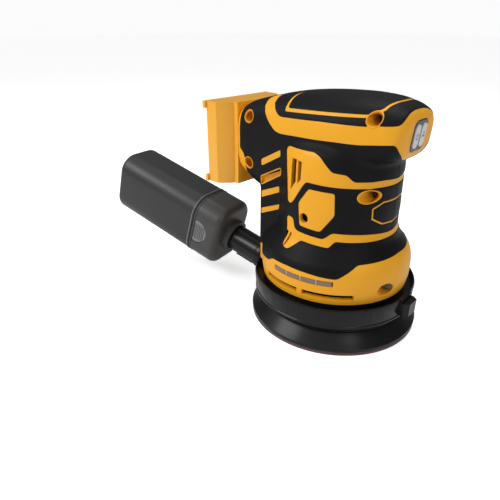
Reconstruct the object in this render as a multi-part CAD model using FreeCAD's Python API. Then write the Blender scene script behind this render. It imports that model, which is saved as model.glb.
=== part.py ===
import FreeCAD, Part
import math
import os

os.makedirs("parts", exist_ok=True)

# Palm-grip random orbit sander, cordless, with a clip-on dust box.
# Millimetres. +Z is up along the motor, +X is the nose with the buttons, -X is the battery side.
# The origin is the middle of the abrasive face, on the motor axis.

# Driving dimensions
DISC_R = 62.0            # abrasive, hook face and pad rim
HOLE_CIRCLE_R = 32.5     # eight dust holes on a 65 mm circle
HOLE_R = 5.0
HOLES = 8
ORBIT = 1.25             # the pad axis is this far from the motor axis
ABRASIVE_TOP = 1.0
HOOK_TOP = 2.2
FOAM_TOP = 13.0
PLATE_TOP = 19.0
SHROUD_R = 59.5
SHROUD_LIP_Z = 17.8
SHROUD_TOP_Z = 33.0
DECK_Z = 29.0
HOUSING_BOTTOM = 34.0
WALL = 3.0
SKIN = 1.0               # rubber overmould
SPINE_X = -54.0
SPINE_HALF = 27.0
SPINE_CORNER = 5.5
REAR_X = -76.0
STATOR_R = 28.0
STATOR_BOTTOM = 76.0
STATOR_TOP = 106.0
SHAFT_R = 5.0
BORE_R = 4.0             # screw recess
SCREW_R = 1.9
NOZZLE_R = 11.0
NOZZLE_BORE_R = 9.0
NOZZLE_YAW = 10.0        # degrees from straight back, towards -Y
NOZZLE_TILT = 17.0       # degrees upwards
NOZZLE_ROOT_R = 60.0
NOZZLE_ROOT_Z = 27.5
NOZZLE_LENGTH = 47.0
COVER_START = 36.0       # along the nozzle axis, from its root
SEAM = 63.0
BOX_END = 150.0
BOX_HALF = 23.0
BOX_HALF_TALL = 27.0
NOSE_TILT = 5.0
NOSE_FACE_X = 50.6
PANEL_Z = 140.5
BUTTON_Y = 4.1
CLEAR = 0.05

V = FreeCAD.Vector
X_AXIS = V(1, 0, 0)
Y_AXIS = V(0, 1, 0)
Z_AXIS = V(0, 0, 1)
ZERO = V(0, 0, 0)
BIG = 400.0


def save(name, *shapes):
    """Write the separate solids of one piece, or of one set of like pieces, to its own file."""
    solids = []
    for shape in shapes:
        solids.extend(shape.Solids)
    joined = Part.makeCompound(solids) if len(solids) > 1 else solids[0]
    bad = [s for s in solids if not s.isValid() or s.Volume <= 0]
    box = joined.BoundBox
    print("%-20s solids %2d bad %d vol %9.0f  x %.1f..%.1f y %.1f..%.1f z %.1f..%.1f" % (
        name, len(solids), len(bad), joined.Volume,
        box.XMin, box.XMax, box.YMin, box.YMax, box.ZMin, box.ZMax))
    joined.exportStep("parts/" + name + ".step")


def cylinder(r, z0, z1, x=0.0, y=0.0):
    return Part.makeCylinder(r, z1 - z0, V(x, y, z0), Z_AXIS)


def tube(r_out, r_in, z0, z1, x=0.0, y=0.0):
    return cylinder(r_out, z0, z1, x, y).cut(cylinder(r_in, z0 - 1, z1 + 1, x, y))


def rod(r, x, z, y0, y1):
    """A round bar along Y."""
    return Part.makeCylinder(r, y1 - y0, V(x, y0, z), Y_AXIS)


def block(x0, x1, y0, y1, z0, z1):
    return Part.makeBox(x1 - x0, y1 - y0, z1 - z0, V(x0, y0, z0))


def polygon_wire(points):
    return Part.makePolygon(points + [points[0]])


def turned(profile):
    """A solid of revolution about Z from a closed outline of (r, z) corners."""
    wire = polygon_wire([V(r, 0, z) for r, z in profile])
    return Part.Face(wire).revolve(ZERO, Z_AXIS, 360)


def side_prism(outline, y0, y1):
    """An (x, z) outline pushed through from y0 to y1."""
    wire = polygon_wire([V(x, y0, z) for x, z in outline])
    return Part.Face(wire).extrude(V(0, y1 - y0, 0))


def plan_prism(outline, z0, z1):
    wire = polygon_wire([V(x, y, z0) for x, y in outline])
    return Part.Face(wire).extrude(V(0, 0, z1 - z0))


def fuse(shapes):
    return shapes[0].fuse(shapes[1:]).removeSplitter()


def polar(r, degrees, z=0.0):
    a = math.radians(degrees)
    return V(r * math.cos(a), r * math.sin(a), z)


def ring_cutter(r_in, r_out, a0, a1, z0, z1):
    """A sector of a flat ring, from angle a0 to a1 in degrees."""
    outer = Part.makeCylinder(r_out, z1 - z0, V(0, 0, z0), Z_AXIS, a1 - a0)
    inner = Part.makeCylinder(r_in, z1 - z0 + 2, V(0, 0, z0 - 1), Z_AXIS, 360)
    sector = outer.cut(inner)
    sector.rotate(ZERO, Z_AXIS, a0)
    return sector


def rounded_block(x0, x1, y0, y1, z0, z1, radius, axis):
    """A block whose four edges along one axis are rounded."""
    shape = block(x0, x1, y0, y1, z0, z1)
    edges = [e for e in shape.Edges if abs(e.tangentAt(e.FirstParameter).dot(axis)) > 0.9]
    return shape.makeFillet(radius, edges)


# ---------------------------------------------------------------- outer shape of the housing

BARREL = [(53.6, 34.0), (54.5, 40.0), (54.6, 47.0), (54.0, 54.0), (51.8, 60.0), (47.6, 64.8),
          (44.2, 69.0), (42.2, 75.0), (41.4, 92.0), (40.9, 109.0), (40.8, 118.0),
          (40.0, 124.5), (37.5, 130.0), (33.0, 134.0)]

# Cross sections of the handle: x, half width, widest level, top, bottom, squareness
HANDLE = [(REAR_X, 26.5, 125.0, 147.0, 100.0, 4.0),
          (-68.0, 28.2, 126.0, 151.0, 95.5, 4.0),
          (-56.0, 29.2, 128.0, 154.6, 89.0, 3.8),
          (-40.0, 31.0, 132.0, 158.2, 94.0, 3.2),
          (-20.0, 33.0, 136.0, 160.8, 106.0, 2.8),
          (0.0, 34.0, 138.0, 162.0, 112.0, 2.7),
          (20.0, 32.8, 139.0, 162.0, 116.0, 2.7),
          (36.0, 29.0, 140.0, 160.0, 122.0, 2.8),
          (44.0, 26.0, 140.5, 157.6, 125.0, 2.8),
          (48.0, 23.0, 140.9, 155.4, 126.8, 2.9),
          (NOSE_FACE_X, 19.6, 141.2, 153.2, 129.0, 3.0)]
SECTION_POINTS = 28
SEAM_TURN = 23.0         # keeps the seam of the turned surface off the parting plane


def barrel(inset, bottom):
    """The round motor housing, widening below to the collar over the pad."""
    points = [V(r - inset, 0, z) for r, z in BARREL]
    points[0].z = bottom
    top = BARREL[-1][1] - inset
    points[-1].z = top
    curve = Part.BSplineCurve()
    curve.interpolate(points)
    edges = [curve.toShape(),
             Part.makeLine(points[-1], V(0, 0, top)),
             Part.makeLine(V(0, 0, top), V(0, 0, bottom)),
             Part.makeLine(V(0, 0, bottom), points[0])]
    shape = Part.Face(Part.Wire(edges)).revolve(ZERO, Z_AXIS, 360)
    shape.rotate(ZERO, Z_AXIS, SEAM_TURN)
    return shape


def signed_power(value, exponent):
    return math.copysign(abs(value) ** exponent, value)


def handle_section(x, half, level, top, bottom, squareness, inset):
    points = []
    for i in range(SECTION_POINTS):
        a = 2 * math.pi * i / SECTION_POINTS
        c = signed_power(math.cos(a), 2 / squareness)
        s = signed_power(math.sin(a), 2 / squareness)
        rise = (top - level - inset) if s > 0 else (level - bottom - inset)
        points.append(V(x, (half - inset) * c, level + rise * s))
    curve = Part.BSplineCurve()
    curve.interpolate(points, PeriodicFlag=True)
    return Part.Wire([curve.toShape()])


def handle(inset):
    wires = []
    for i, (x, half, level, top, bottom, squareness) in enumerate(HANDLE):
        if i == 0:
            x += inset
        if i == len(HANDLE) - 1:
            x -= inset
        wires.append(handle_section(x, half, level, top, bottom, squareness, inset))
    return Part.makeLoft(wires, True, False)


def spine(inset, bottom):
    half = SPINE_HALF - inset
    shape = block(SPINE_X + inset, 0, -half, half, bottom, 112)
    edges = [e for e in shape.Edges
             if abs(e.tangentAt(e.FirstParameter).z) > 0.9 and e.CenterOfMass.x < SPINE_X / 2]
    return shape.makeFillet(SPINE_CORNER - inset, edges)


def body(inset, bottom):
    return fuse([barrel(inset, bottom), spine(inset, bottom), handle(inset)])


# ---------------------------------------------------------------- colour breaks, seen from the side

HANDLE_BAND = [(-52, 162), (-48, 151), (-42, 140), (-34, 134.5), (-4, 134.5), (26, 136), (44, 138.5),
               (49, 130), (53, 120), (70, 120), (70, 170), (44, 170), (46, 149.5), (36, 148.2),
               (-30, 145.5), (-38, 148), (-42, 162)]
UPPER_PANEL = [(-21, 128), (-17, 131), (6, 131), (10, 127.5), (17, 119), (24, 117.5), (28, 114),
               (60, 114), (60, 109.2), (-2, 110.6), (-5, 107), (-12, 95), (-15, 91.5), (-19, 92)]
HEX_PANEL = [(1, 107), (18, 106), (18.5, 92), (10, 79.5), (-5, 81), (-5.5, 96)]
LOWER_BAND = [(-18, 81), (-14, 84.5), (-9, 83), (-7, 76.5), (13, 75), (20, 79.5), (60, 79.5),
              (60, 73.8), (22, 73.8), (16, 69), (-1, 70.5), (-14, 58), (-21, 60), (-17, 70)]
RING_TOP = [(-90, 49), (-26, 49), (-21, 53), (8, 52), (27, 51.5), (38, 62), (90, 64), (90, 20), (-90, 20)]
STRIPE_X0 = -51.5
STRIPE_X1 = -34.5
STRIPE_RISE = 9.0
STRIPE_HEIGHT = 5.2
STRIPE_LEVELS = (108.0, 95.5, 83.0, 70.0)
VENT_STRIPE = 1
VENT_DEPTH = 2.2


def stripe(index):
    z = STRIPE_LEVELS[index]
    return [(STRIPE_X0, z), (STRIPE_X1, z + STRIPE_RISE), (STRIPE_X1, z + STRIPE_RISE + STRIPE_HEIGHT),
            (STRIPE_X0, z + STRIPE_HEIGHT)]


def hard_regions(side):
    """The places where the hard shell shows through the rubber, as prisms on one side."""
    y0, y1 = (-BIG, -2.0) if side < 0 else (2.0, BIG)
    outlines = [HANDLE_BAND, UPPER_PANEL, HEX_PANEL, LOWER_BAND, RING_TOP]
    outlines += [stripe(i) for i in range(len(STRIPE_LEVELS))]
    prisms = [side_prism(outline, y0, y1) for outline in outlines]
    prisms.append(block(43, BIG, -BIG, BIG, 120, 170))
    prisms.append(block(-BIG, BIG, -BIG, BIG, 0, 48))
    return prisms


# ---------------------------------------------------------------- housing halves and rubber

# Long screws that clamp the halves: x, z, where the head seats, where the thread ends
CLAMP_SCREWS = [(-62.0, 142.0, -14.0, 14.0), (-62.0, 109.0, -14.0, 14.0),
                (34.0, 151.5, -14.0, 12.0), (34.0, 104.0, -10.0, 16.0)]
CENTRE_SCREW_Z = 86.0
CENTRE_SCREW_X = -1.0
RING_SCREW_AT = (51.7, -18.8, 42.5)
RING_SCREW_DIRECTION = -68.0
HEAD_R = 3.3
HEAD_T = 2.4
BOSS_R = 5.6
RIM = 0.8                # hard rim left round a screw recess
CRUMB = 20.0             # smaller scraps of rubber are left out
SHROUD_SCREW_R = 48.2    # circle of the screws that hold the shroud from below


def ring_screw_bar(r, start, length):
    """A bar along the slanting screw at the front of the collar; start is measured inwards."""
    out = polar(1, RING_SCREW_DIRECTION)
    base = V(*RING_SCREW_AT) - out * start
    return Part.makeCylinder(r, length, base, out * -1)


def shroud_screw_spots():
    return [polar(SHROUD_SCREW_R, degrees) for degrees in (55, 125, 235, 305)]


def bosses():
    shapes = []
    for x, z, head, end in CLAMP_SCREWS:
        shapes.append(rod(BOSS_R, x, z, -60, 60))
    shapes.append(ring_screw_bar(BOSS_R - 1, 0, 13))
    for spot in shroud_screw_spots():
        shapes.append(cylinder(4.0, HOUSING_BOTTOM, 46.0, spot.x, spot.y))
    return shapes


def recess_cutters():
    """Screw recesses, clearance holes and pilot holes."""
    cutters = []
    for x, z, head, end in CLAMP_SCREWS:
        cutters.append(rod(BORE_R, x, z, -60, head))
        cutters.append(rod(SCREW_R + CLEAR, x, z, head - 1, end + 1))
    cutters.append(ring_screw_bar(BORE_R, -12, 18))
    cutters.append(ring_screw_bar(SCREW_R + CLEAR, 5, 8))
    for spot in shroud_screw_spots():
        cutters.append(cylinder(SCREW_R + CLEAR, 20, 43.0, spot.x, spot.y))
    for side in (-1, 1):
        y0, y1 = (-60, -34.5) if side < 0 else (34.5, 60)
        cutters.append(rod(BORE_R - 0.6, CENTRE_SCREW_X, CENTRE_SCREW_Z, y0, y1))
        y0, y1 = (-36, -28) if side < 0 else (28, 36)
        cutters.append(rod(SCREW_R + CLEAR, CENTRE_SCREW_X, CENTRE_SCREW_Z, y0, y1))
    return cutters


def vent_cutters():
    cutters = []
    for side in (-1, 1):
        for a0, a1 in ((84, 117), (43, 80)):
            lo, hi = (-a1, -a0) if side < 0 else (a0, a1)
            cutters.append(ring_cutter(45, 60, lo, hi, 38.8, 42.2))
        y0, y1 = (-60, -30) if side < 0 else (30, 60)
        cutters.append(side_prism([(-13.2, 101), (-10.8, 105), (-10.8, 124), (-13.2, 124)], y0, y1))
        cutters.append(side_prism([(-8.0, 107), (-5.6, 110), (-5.6, 122), (-8.0, 122.6)], y0, y1))
        cutters.append(side_prism([(-17.5, 62), (-15.8, 62), (-13.4, 73), (-15.0, 73)], y0, y1))
        cutters.append(side_prism([(-14.0, 63), (-12.3, 64.5), (-10.0, 73), (-11.6, 73)], y0, y1))
        y0, y1 = (-40, VENT_DEPTH - SPINE_HALF) if side < 0 else (SPINE_HALF - VENT_DEPTH, 40)
        cutters.append(side_prism(stripe(VENT_STRIPE), y0, y1))
    return cutters


LENS_A0 = 58.0
LENS_A1 = 106.0
LENS_Z0 = 47.6
LENS_Z1 = 51.2


def lens_cutters():
    cutters = []
    for side in (-1, 1):
        lo, hi = (-LENS_A1, -LENS_A0) if side < 0 else (LENS_A0, LENS_A1)
        cutters.append(ring_cutter(51.0, 60, lo, hi, LENS_Z0, LENS_Z1))
    return cutters


def stator_ribs():
    """Ribs inside the halves that hold the stator carrier."""
    ribs = []
    for degrees in (40, 75, 105, 140, 220, 255, 285, 320):
        rib = block(CARRIER_R + CLEAR, 40, -1.2, 1.2, 74, 110)
        rib.rotate(ZERO, Z_AXIS, degrees)
        ribs.append(rib)
    return ribs


CARRIER_R = 31.5
BRACKET_NECK = (REAR_X - 1, REAR_X + WALL + 1, -14, 14, 110, 134)
NECK_GAP = 0.3


def panel_pocket():
    """The seat of the button panel in the nose, and the space for its board behind it."""
    seat = nose_block(-3.6, 3.0, 9.0, 9.6, 4.2)
    hole = nose_block(-12.0, -3.0, 7.4, 8.4, 3.0)
    return [seat, hole]


def nose_block(depth0, depth1, half_y, half_u, radius):
    """A rounded block on the tilted nose face; depth is measured outwards from the face."""
    shape = rounded_block(depth0, depth1, -half_y, half_y, -half_u, half_u, radius, X_AXIS)
    return on_nose(shape)


def on_nose(shape):
    shape = shape.copy()
    shape.rotate(ZERO, Y_AXIS, NOSE_TILT)
    shape.translate(V(NOSE_FACE_X - 0.6, 0, PANEL_Z))
    return shape


def make_housing():
    outer = body(0.0, HOUSING_BOTTOM)
    under_rubber = body(SKIN, HOUSING_BOTTOM - 1)
    inner = body(WALL, HOUSING_BOTTOM - 2)
    skin = outer.cut(under_rubber)
    lugs = fuse([boss.common(outer) for boss in bosses()])
    ribs = fuse([rib.common(outer) for rib in stator_ribs()])
    shell = outer.cut(inner).fuse([lugs, ribs])
    holes = recess_cutters() + vent_cutters() + lens_cutters() + panel_pocket()
    holes.append(block(*BRACKET_NECK))
    rims = [rod(BORE_R + RIM, x, z, -60, -5) for x, z, head, end in CLAMP_SCREWS]
    for side, name in ((-1, "right"), (1, "left")):
        y0, y1 = (-BIG, 0) if side < 0 else (0, BIG)
        half_space = block(-BIG, BIG, y0, y1, -BIG, BIG)
        rubber = skin.common(half_space).cut(hard_regions(side))
        half = shell.common(half_space).cut(rubber).cut(holes)
        save("housing_" + name, max(half.Solids, key=solid_volume))
        rubber = rubber.cut(holes + rims)
        save("grip_" + name, *[s for s in rubber.Solids if s.Volume > CRUMB])


def solid_volume(solid):
    return solid.Volume


def make_screws():
    screws = []
    for x, z, head, end in CLAMP_SCREWS:
        screws.append(rod(HEAD_R, x, z, head - HEAD_T, head).fuse(rod(SCREW_R, x, z, head, end)))
    out = polar(1, RING_SCREW_DIRECTION)
    base = V(*RING_SCREW_AT) - out * (6.0 - HEAD_T)
    head = Part.makeCylinder(HEAD_R, HEAD_T, base, out * -1)
    shank = Part.makeCylinder(SCREW_R, 6.5, base - out * HEAD_T, out * -1)
    screws.append(head.fuse(shank))
    save("housing_screws", *[s.removeSplitter() for s in screws])
    short = []
    for side in (-1, 1):
        y0, y1 = (-34.5 - 2.0, -34.5) if side < 0 else (34.5, 34.5 + 2.0)
        head = rod(HEAD_R - 0.5, CENTRE_SCREW_X, CENTRE_SCREW_Z, y0, y1)
        y0, y1 = (-34.5, -29.2) if side < 0 else (29.2, 34.5)
        short.append(head.fuse(rod(SCREW_R, CENTRE_SCREW_X, CENTRE_SCREW_Z, y0, y1)).removeSplitter())
    save("carrier_screws", *short)


def make_lenses():
    for side, name in ((-1, "right"), (1, "left")):
        lo, hi = (-LENS_A1, -LENS_A0) if side < 0 else (LENS_A0, LENS_A1)
        lens = ring_cutter(51.1, 54.0, lo + 0.1, hi - 0.1, LENS_Z0 + 0.1, LENS_Z1 - 0.1)
        save("light_lens_" + name, lens)


# ---------------------------------------------------------------- motor

def make_motor():
    carrier = tube(CARRIER_R, STATOR_R, STATOR_BOTTOM - 4, STATOR_TOP + 4)
    flange = tube(CARRIER_R, 20.0, STATOR_BOTTOM - 6, STATOR_BOTTOM - 4)
    carrier = carrier.cut(rod(BOSS_R + 0.2, 34, 104, -60, 60))
    for side in (-1, 1):
        y0, y1 = (-33, -28.5) if side < 0 else (28.5, 33)
        carrier = carrier.cut(rod(SCREW_R, CENTRE_SCREW_X, CENTRE_SCREW_Z, y0, y1))
    save("stator_carrier", carrier.fuse(flange).removeSplitter())

    core = tube(STATOR_R, 24.5, STATOR_BOTTOM, STATOR_TOP)
    teeth = []
    coils = []
    for i in range(6):
        tooth = block(17.0, 25.0, -2.6, 2.6, STATOR_BOTTOM, STATOR_TOP)
        shoe = ring_cutter(15.6, 17.4, -22, 22, STATOR_BOTTOM, STATOR_TOP)
        coil = rounded_block(17.8, 23.4, -6.0, 6.0, STATOR_BOTTOM - 3, STATOR_TOP + 3, 2.5, X_AXIS)
        coil = coil.cut(block(17, 26, -2.8, 2.8, STATOR_BOTTOM - 0.2, STATOR_TOP + 0.2))
        for shape, shelf in ((tooth.fuse(shoe), teeth), (coil, coils)):
            shape.rotate(ZERO, Z_AXIS, 60 * i + 30)
            shelf.append(shape)
    save("stator_core", core.fuse(teeth).removeSplitter())
    save("stator_windings", *coils)

    rotor = tube(15.0, SHAFT_R, STATOR_BOTTOM, STATOR_TOP)
    save("rotor_magnet", rotor)
    shaft = fuse([cylinder(SHAFT_R, 43.5, 110), cylinder(4.0, 110, 126), cylinder(6.2, 67, 70)])
    save("motor_shaft", shaft)
    save_bearing("lower_bearing", SHAFT_R, 13.0, 59.0, 67.0, 0.0)
    save_bearing("upper_bearing", 4.0, 11.0, 117.0, 124.0, 0.0)

    plate = turned([(13.0, 57.0), (47.6, 57.0), (47.6, 60.0), (18.0, 62.0), (18.0, 68.5), (8.5, 68.5),
                    (8.5, 67.05), (13.0, 67.05)])
    slots = [ring_cutter(24, 38, 60 * i + 12, 60 * i + 48, 50, 70) for i in range(6)]
    save("bearing_plate", plate.cut(slots))
    bridge = turned([(11.0, 116.0), (33.0, 116.0), (33.0, 119.0), (14.0, 119.0), (14.0, 126.5),
                     (6.0, 126.5), (6.0, 124.05), (11.0, 124.05)])
    slots = [ring_cutter(17, 28, 90 * i + 20, 90 * i + 70, 110, 122) for i in range(4)]
    save("bearing_bridge", bridge.cut(slots + [rod(BOSS_R + 0.4, 34, 104, -60, 60)]))


def save_bearing(name, r_in, r_out, z0, z1, x):
    """A sealed ball bearing: two races and the balls; each set is one file."""
    third = (r_out - r_in) / 3
    inner = tube(r_in + third, r_in, z0, z1, x)
    outer = tube(r_out, r_out - third, z0, z1, x)
    ball_r = third / 2 - CLEAR
    pitch = (r_in + r_out) / 2
    middle = (z0 + z1) / 2
    count = int(math.pi * pitch / (ball_r * 1.25))
    balls = []
    for i in range(count):
        spot = polar(pitch, 360.0 * i / count, middle)
        balls.append(Part.makeSphere(ball_r, spot + V(x, 0, 0)))
    save(name + "_outer", outer, *balls)
    save(name + "_inner", inner)


def make_fan():
    hub_wall = tube(16.5, 13.0, 24.5, 39.0, ORBIT)
    crown = cylinder(16.5, 39.0, 42.0, ORBIT).fuse(cylinder(9.0, 42.0, 52.0))
    bore = cylinder(SHAFT_R, 43.5, 60.0)
    vent = cylinder(4.6, 36.0, 40.2, ORBIT)
    save("eccentric_hub", fuse([hub_wall, crown]).cut([bore, vent]))

    disc = tube(42.0, 18.2, 39.2, 41.2)
    collar = tube(19.4, 18.2, 34.0, 39.2)
    blades = []
    for i in range(13):
        low = block(25.0, 41.0, -0.7, 0.7, 31.0, 39.2)
        high = block(21.0, 40.0, -0.7, 0.7, 41.2, 50.0)
        for blade in (low, high):
            blade.rotate(V(33, 0, 0), Z_AXIS, 24)
            blade.rotate(ZERO, Z_AXIS, 360.0 * i / 13)
            blades.append(blade.common(cylinder(42.0, 20, 60)))
    spokes = tube(18.2, 9.0, 42.0, 44.0).fuse(tube(19.4, 18.2, 41.2, 44.0))
    fan = fuse([disc, collar, spokes] + blades).cut(cylinder(16.5, 20, 42.0, ORBIT))
    save("fan", fan)

    weight = ring_cutter(16.6, 24.0, 105, 255, 24.5, 33.4)
    weight = weight.cut(cylinder(16.5, 20, 42, ORBIT))
    save("counterweight", weight.cut(tube(19.5, 18.0, 33.3, 40)))
    save_bearing("pad_bearing", SHAFT_R, 13.0, 25.0, 38.0, ORBIT)


# ---------------------------------------------------------------- pad

def pad_holes():
    """Dust holes through the pad, and the well for the centre screw."""
    cutters = []
    for i in range(HOLES):
        spot = polar(HOLE_CIRCLE_R, 22.5 + 360.0 * i / HOLES)
        cutters.append(cylinder(HOLE_R, -5, 30, spot.x + ORBIT, spot.y))
    return cutters


def make_pad():
    holes = pad_holes()
    save("abrasive_disc", cylinder(DISC_R, 0, ABRASIVE_TOP, ORBIT).cut(holes))
    save("hook_face", cylinder(DISC_R, ABRASIVE_TOP, HOOK_TOP, ORBIT).cut(holes))
    foam = turned([(0, HOOK_TOP), (DISC_R, HOOK_TOP), (DISC_R + 0.4, 4.6), (59.0, 7.6), (55.6, 11.2),
                   (53.6, FOAM_TOP), (0, FOAM_TOP)])
    well = cylinder(9.0, 8.0, 30)
    foam.translate(V(ORBIT, 0, 0))
    well.translate(V(ORBIT, 0, 0))
    save("pad_foam", foam.cut(holes + [well]))
    plate = turned([(0, FOAM_TOP), (53.6, FOAM_TOP), (52.4, 16.0), (51.6, PLATE_TOP), (44.0, PLATE_TOP),
                    (42.0, 16.6), (16.0, 16.6), (14.0, 20.0), (0, 20.0)])
    plate.translate(V(ORBIT, 0, 0))
    screw_hole = cylinder(2.6, 0, 30, ORBIT)
    save("pad_plate", plate.cut(holes + [screw_hole]))
    spindle = fuse([cylinder(9.0, 20.0, 23.0, ORBIT), cylinder(6.6, 23.0, 25.0, ORBIT),
                    cylinder(SHAFT_R, 25.0, 38.5, ORBIT)])
    save("pad_spindle", spindle.cut(cylinder(2.5, 15, 34.0, ORBIT)))
    save("pad_washer", tube(7.0, 2.6, 11.8, FOAM_TOP, ORBIT))
    screw = cylinder(4.4, 8.6, 11.8, ORBIT).fuse(cylinder(2.5, 11.8, 33.5, ORBIT))
    socket = polygon_wire([polar(2.3, 60 * i, 8.6) + V(ORBIT, 0, 0) for i in range(6)])
    socket = Part.Face(socket).extrude(V(0, 0, 2.0))
    save("pad_screw", screw.removeSplitter().cut(socket))
    save("spindle_clip", tube(6.4, SHAFT_R, 38.0, 38.4, ORBIT).cut(block(ORBIT, 20, -2, 2, 30, 45)))


# ---------------------------------------------------------------- shroud and nozzle

def on_nozzle(shape):
    """Place a shape made along +X, root at the origin and up along +Z, on the nozzle axis."""
    shape = shape.copy()
    shape.rotate(ZERO, Y_AXIS, -NOZZLE_TILT)
    shape.rotate(ZERO, Z_AXIS, 180 + NOZZLE_YAW)
    spot = polar(NOZZLE_ROOT_R, 180 + NOZZLE_YAW, NOZZLE_ROOT_Z)
    shape.translate(spot)
    return shape


def make_shroud():
    wall = turned([(58.3, SHROUD_LIP_Z), (58.9, 18.4), (58.9, 19.8), (58.5, 20.2), (59.5, 31.6),
                   (59.0, SHROUD_TOP_Z), (58.2, SHROUD_TOP_Z), (57.6, 32.0), (57.4, DECK_Z),
                   (52.0, DECK_Z), (52.0, 33.8), (44.0, 33.8), (44.0, 27.0), (57.2, 27.0), (56.6, SHROUD_LIP_Z)])
    lug = plan_prism([(56.0, -7.5), (61.5, -7.5), (64.8, -5.0), (64.8, 5.0), (61.5, 7.5), (56.0, 7.5)], 21, 33)
    lug = lug.cut([cylinder(57.3, 10, 40), block(60, 70, -20, 20, 30.5, 40)])
    outer_tube = Part.makeCylinder(NOZZLE_R, NOZZLE_LENGTH + 5, V(-5, 0, 0), X_AXIS)
    elbow = Part.makeSphere(NOZZLE_R + 1.4, V(1.5, 0, 0))
    rib = block(0, 26, -1.2, 1.2, -NOZZLE_R - 3.4, -NOZZLE_R + 1)
    port = on_nozzle(fuse([outer_tube, elbow, rib]))
    port = port.cut([cylinder(57.6, 0, 60), block(-BIG, BIG, -BIG, BIG, -10, SHROUD_LIP_Z - 1.2)])
    bore = Part.makeCylinder(NOZZLE_BORE_R, NOZZLE_LENGTH + 5, V(0, 0, 0), X_AXIS)
    window = Part.makeCylinder(8.0, 16, V(-9, 0, -5), X_AXIS)
    window = on_nozzle(window).common(block(-BIG, BIG, -BIG, BIG, SHROUD_LIP_Z + 1.5, 26.9))
    shroud = fuse([wall, lug, port]).cut([on_nozzle(bore).cut(cylinder(59.6, 0, 60)), window])
    seats = [cylinder(SCREW_R + CLEAR, 20, 40, s.x, s.y) for s in shroud_screw_spots()]
    save("dust_shroud", shroud.cut(seats))
    ring = turned([(46.0, 27.0), (51.0, 27.0), (50.4, 21.0), (49.4, 19.5), (47.6, 19.5), (46.6, 21.0)])
    head_pockets = [cylinder(3.3, 24.7, 28.0, s.x, s.y) for s in shroud_screw_spots()]
    save("brake_ring", ring.cut(head_pockets))
    screws = []
    for spot in shroud_screw_spots():
        screws.append(cylinder(3.0, 25.0, 27.0, spot.x, spot.y).fuse(
            cylinder(SCREW_R, 27.0, 42.0, spot.x, spot.y)).removeSplitter())
    save("shroud_screws", *screws)


# ---------------------------------------------------------------- dust box

def rounded_tube_section(start, end, half, half_tall, radius):
    return rounded_block(start, end, -half, half, -half_tall, half_tall, radius, X_AXIS)


def make_dust_box():
    shell = rounded_tube_section(SEAM, BOX_END, BOX_HALF, BOX_HALF_TALL, 15.0)
    end_edges = [e for e in shell.Edges if e.BoundBox.XMin > BOX_END - 0.1]
    shell = shell.makeFillet(5.0, end_edges)
    hollow = rounded_tube_section(SEAM - 1, BOX_END - 2.2, BOX_HALF - 2, BOX_HALF_TALL - 2, 13.0)
    save("dust_box", on_nozzle(shell.cut(hollow)))

    front = rounded_tube_section(COVER_START, SEAM - 0.6, BOX_HALF, BOX_HALF_TALL, 15.0)
    front_edges = [e for e in front.Edges if e.BoundBox.XMax < COVER_START + 0.1]
    front = front.makeFillet(6.0, front_edges)
    collar = Part.makeCylinder(NOZZLE_R + 3.0, 10, V(COVER_START - 5, 0, 0), X_AXIS)
    spigot = rounded_tube_section(SEAM - 4, SEAM + 6, BOX_HALF - 2.2, BOX_HALF_TALL - 2.2, 12.8)
    inside = rounded_tube_section(COVER_START + 2.4, SEAM + 7, BOX_HALF - 4.4, BOX_HALF_TALL - 4.4, 10.6)
    sleeve = Part.makeCylinder(NOZZLE_R + CLEAR, 60, V(COVER_START - 10, 0, 0), X_AXIS)
    guide = Part.makeCylinder(NOZZLE_R + 2.0, 10, V(COVER_START, 0, 0), X_AXIS)
    cover = fuse([front, collar, spigot]).cut(inside).fuse(guide).cut([sleeve] + latch_windows())
    save("dust_box_cover", on_nozzle(cover.removeSplitter()))
    for side, name in ((-1, "left"), (1, "right")):
        save("box_latch_" + name, on_nozzle(latch(side)))
    seal = rounded_tube_section(SEAM - 0.6, SEAM, BOX_HALF - 0.7, BOX_HALF_TALL - 0.7, 14.3)
    seal = seal.cut(rounded_tube_section(SEAM - 2, SEAM + 2, BOX_HALF - 2.1, BOX_HALF_TALL - 2.1, 12.9))
    save("box_seal", on_nozzle(seal))
    frame = rounded_tube_section(SEAM + 6.0, SEAM + 8.0, BOX_HALF - 2.4, BOX_HALF_TALL - 2.4, 12.0)
    frame = frame.cut(rounded_tube_section(SEAM, SEAM + 12, BOX_HALF - 6, BOX_HALF_TALL - 6, 1.0))
    save("filter_frame", on_nozzle(frame))
    pleats = []
    half = BOX_HALF - 6.1
    count = 9
    step = 2 * half / count
    for i in range(count):
        y = -half + i * step
        pleats.append((SEAM + 6.2, y))
        pleats.append((SEAM + 15.0, y + step / 2))
    back = [(x + 1.0, y) for x, y in reversed(pleats)]
    filter_body = plan_prism(pleats + back, -BOX_HALF_TALL + 8.4, BOX_HALF_TALL - 8.4)
    save("dust_filter", on_nozzle(filter_body))


LATCH_X0 = SEAM - 15.5
LATCH_X1 = SEAM - 2.0
LATCH_HALF = 9.5
LATCH_TRAVEL = 1.5


def latch_outline(grow):
    """A half-moon with its straight side towards the seam."""
    points = [V(LATCH_X1 + grow, 0, LATCH_HALF + grow), V(LATCH_X1 + grow, 0, -LATCH_HALF - grow)]
    middle = V(LATCH_X0 - grow, 0, 0)
    arc = Part.Arc(points[1], middle, points[0]).toShape()
    line = Part.makeLine(points[0], points[1])
    return Part.Face(Part.Wire([arc, line]))


def latch_windows():
    windows = []
    for side in (-1, 1):
        face = latch_outline(0.3)
        y0 = side * (BOX_HALF + 2)
        face.translate(V(0, y0, 0))
        windows.append(face.extrude(V(0, -side * 8, 0)))
    return windows


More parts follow.
